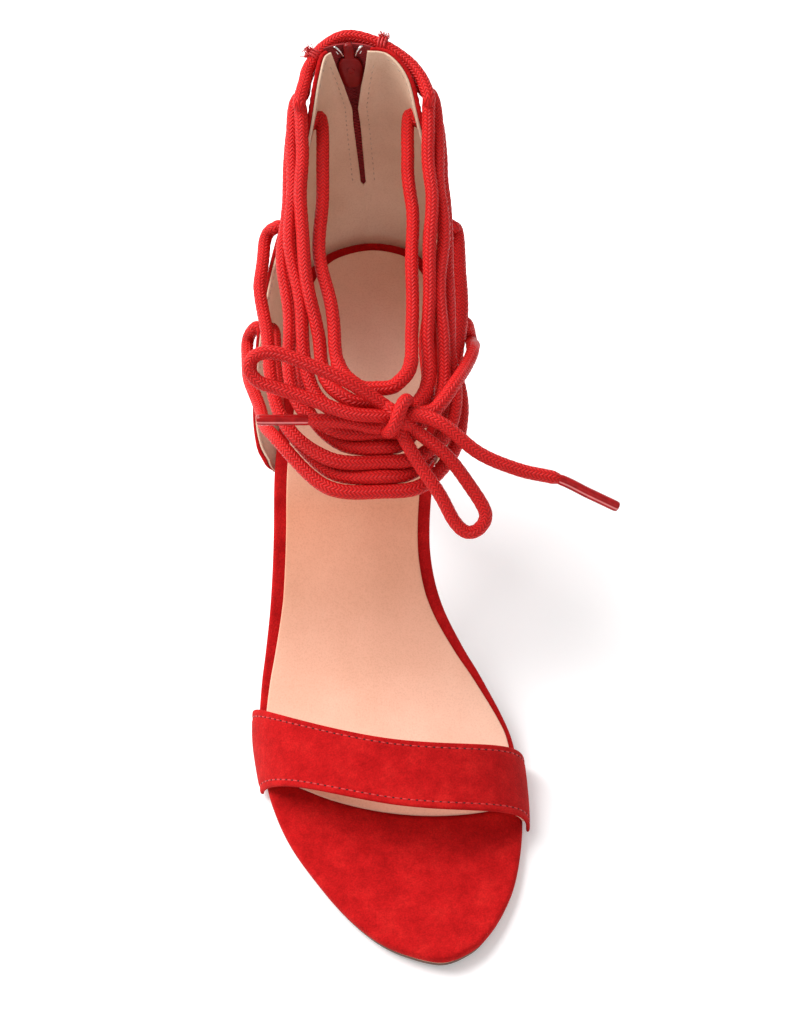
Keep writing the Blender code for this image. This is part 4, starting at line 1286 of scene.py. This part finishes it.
for side_name, heading, points, tip in ends:
    root = knot_root(heading)
    way = np.array(points) + toe
    tip_end = np.array(tip) + toe
    path = even_path([in_knot(root), root, *way, (way[-1] + tip_end) / 2, tip_end], 0.0005)
    place = lengths_along(path)
    under_film = np.linalg.norm(tip_end - way[-1])
    to_tip = place[-1] - place
    thin = np.interp(to_tip, (under_film - 0.0010, under_film + 0.0015), (covered_bulk, cord_bulk))
    end_cord = add_piece(f"lace_end_{side_name}_cord", braided(path, thin), cotton)
    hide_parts(f"lace_end_{side_name}")
    covered = path[place > place[-1] - under_film]
    covered = np.concatenate([covered, covered[-1:] + (covered[-1:] - covered[-2:-1]) * 0.4])
    bulk = np.full(len(covered), tip_diameter / 2 + film_thick)
    bulk[-3:] = film_nose
    bulk[:2] = film_mouth
    sleeve = add_piece(f"lace_tip_{side_name}_film", tube(covered, bulk, 24), film)
    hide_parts(f"lace_tip_{side_name}")

# Studio: a plain pale floor under a white sky, one large soft light from the upper left and behind.
# The camera looks down at 50 degrees from in front of the toe, as in the photograph.
floor_shape = bmesh.new()
bmesh.ops.create_grid(floor_shape, x_segments=4, y_segments=4, size=3)
floor_mesh = bpy.data.meshes.new("floor")
floor_shape.to_mesh(floor_mesh)
floor_shape.free()
floor_finish = new_finish("pale_floor", (0.92, 0.92, 0.92), 0.9)
on_shader(floor_finish, {"Emission Color": (1, 1, 1, 1), "Emission Strength": 0.18})
floor_mesh.materials.append(floor_finish)
floor = bpy.data.objects.new("floor", floor_mesh)
bpy.context.scene.collection.objects.link(floor)
world = bpy.data.worlds.new("studio")
world.use_nodes = True
world.node_tree.nodes["Background"].inputs["Color"].default_value = (1, 1, 1, 1)
world.node_tree.nodes["Background"].inputs["Strength"].default_value = 0.55
bpy.context.scene.world = world
for name, place, target, size, power in (
    ("key_light", (-0.72, 0.42, 1.05), (0, 0, 0.05), 1.1, 28),
    ("fill_light", (0.7, -0.9, 0.8), (0, -0.02, 0.05), 1.0, 1.5),
):
    lamp = bpy.data.lights.new(name, "AREA")
    lamp.size = size
    lamp.energy = power
    light = bpy.data.objects.new(name, lamp)
    light.location = place
    light.rotation_euler = (Vector(target) - Vector(place)).to_track_quat("-Z", "Y").to_euler()
    bpy.context.scene.collection.objects.link(light)
lens = bpy.data.cameras.new("photo_camera")
# Focal length and height of the photograph in its own pixels, on a 36 mm sensor
lens.lens = 1775 * 36 / 1013
lens.sensor_width = 36
lens.shift_x = 0.0128
lens.shift_y = 0.0577
camera = bpy.data.objects.new("photo_camera", lens)
camera.location = (-0.0175, -0.3402, 0.4583)
camera.rotation_euler = Vector((0.034, 0.642, -0.766)).to_track_quat("-Z", "Y").to_euler()
bpy.context.scene.collection.objects.link(camera)
bpy.context.scene.camera = camera
bpy.context.scene.view_settings.view_transform = "Standard"
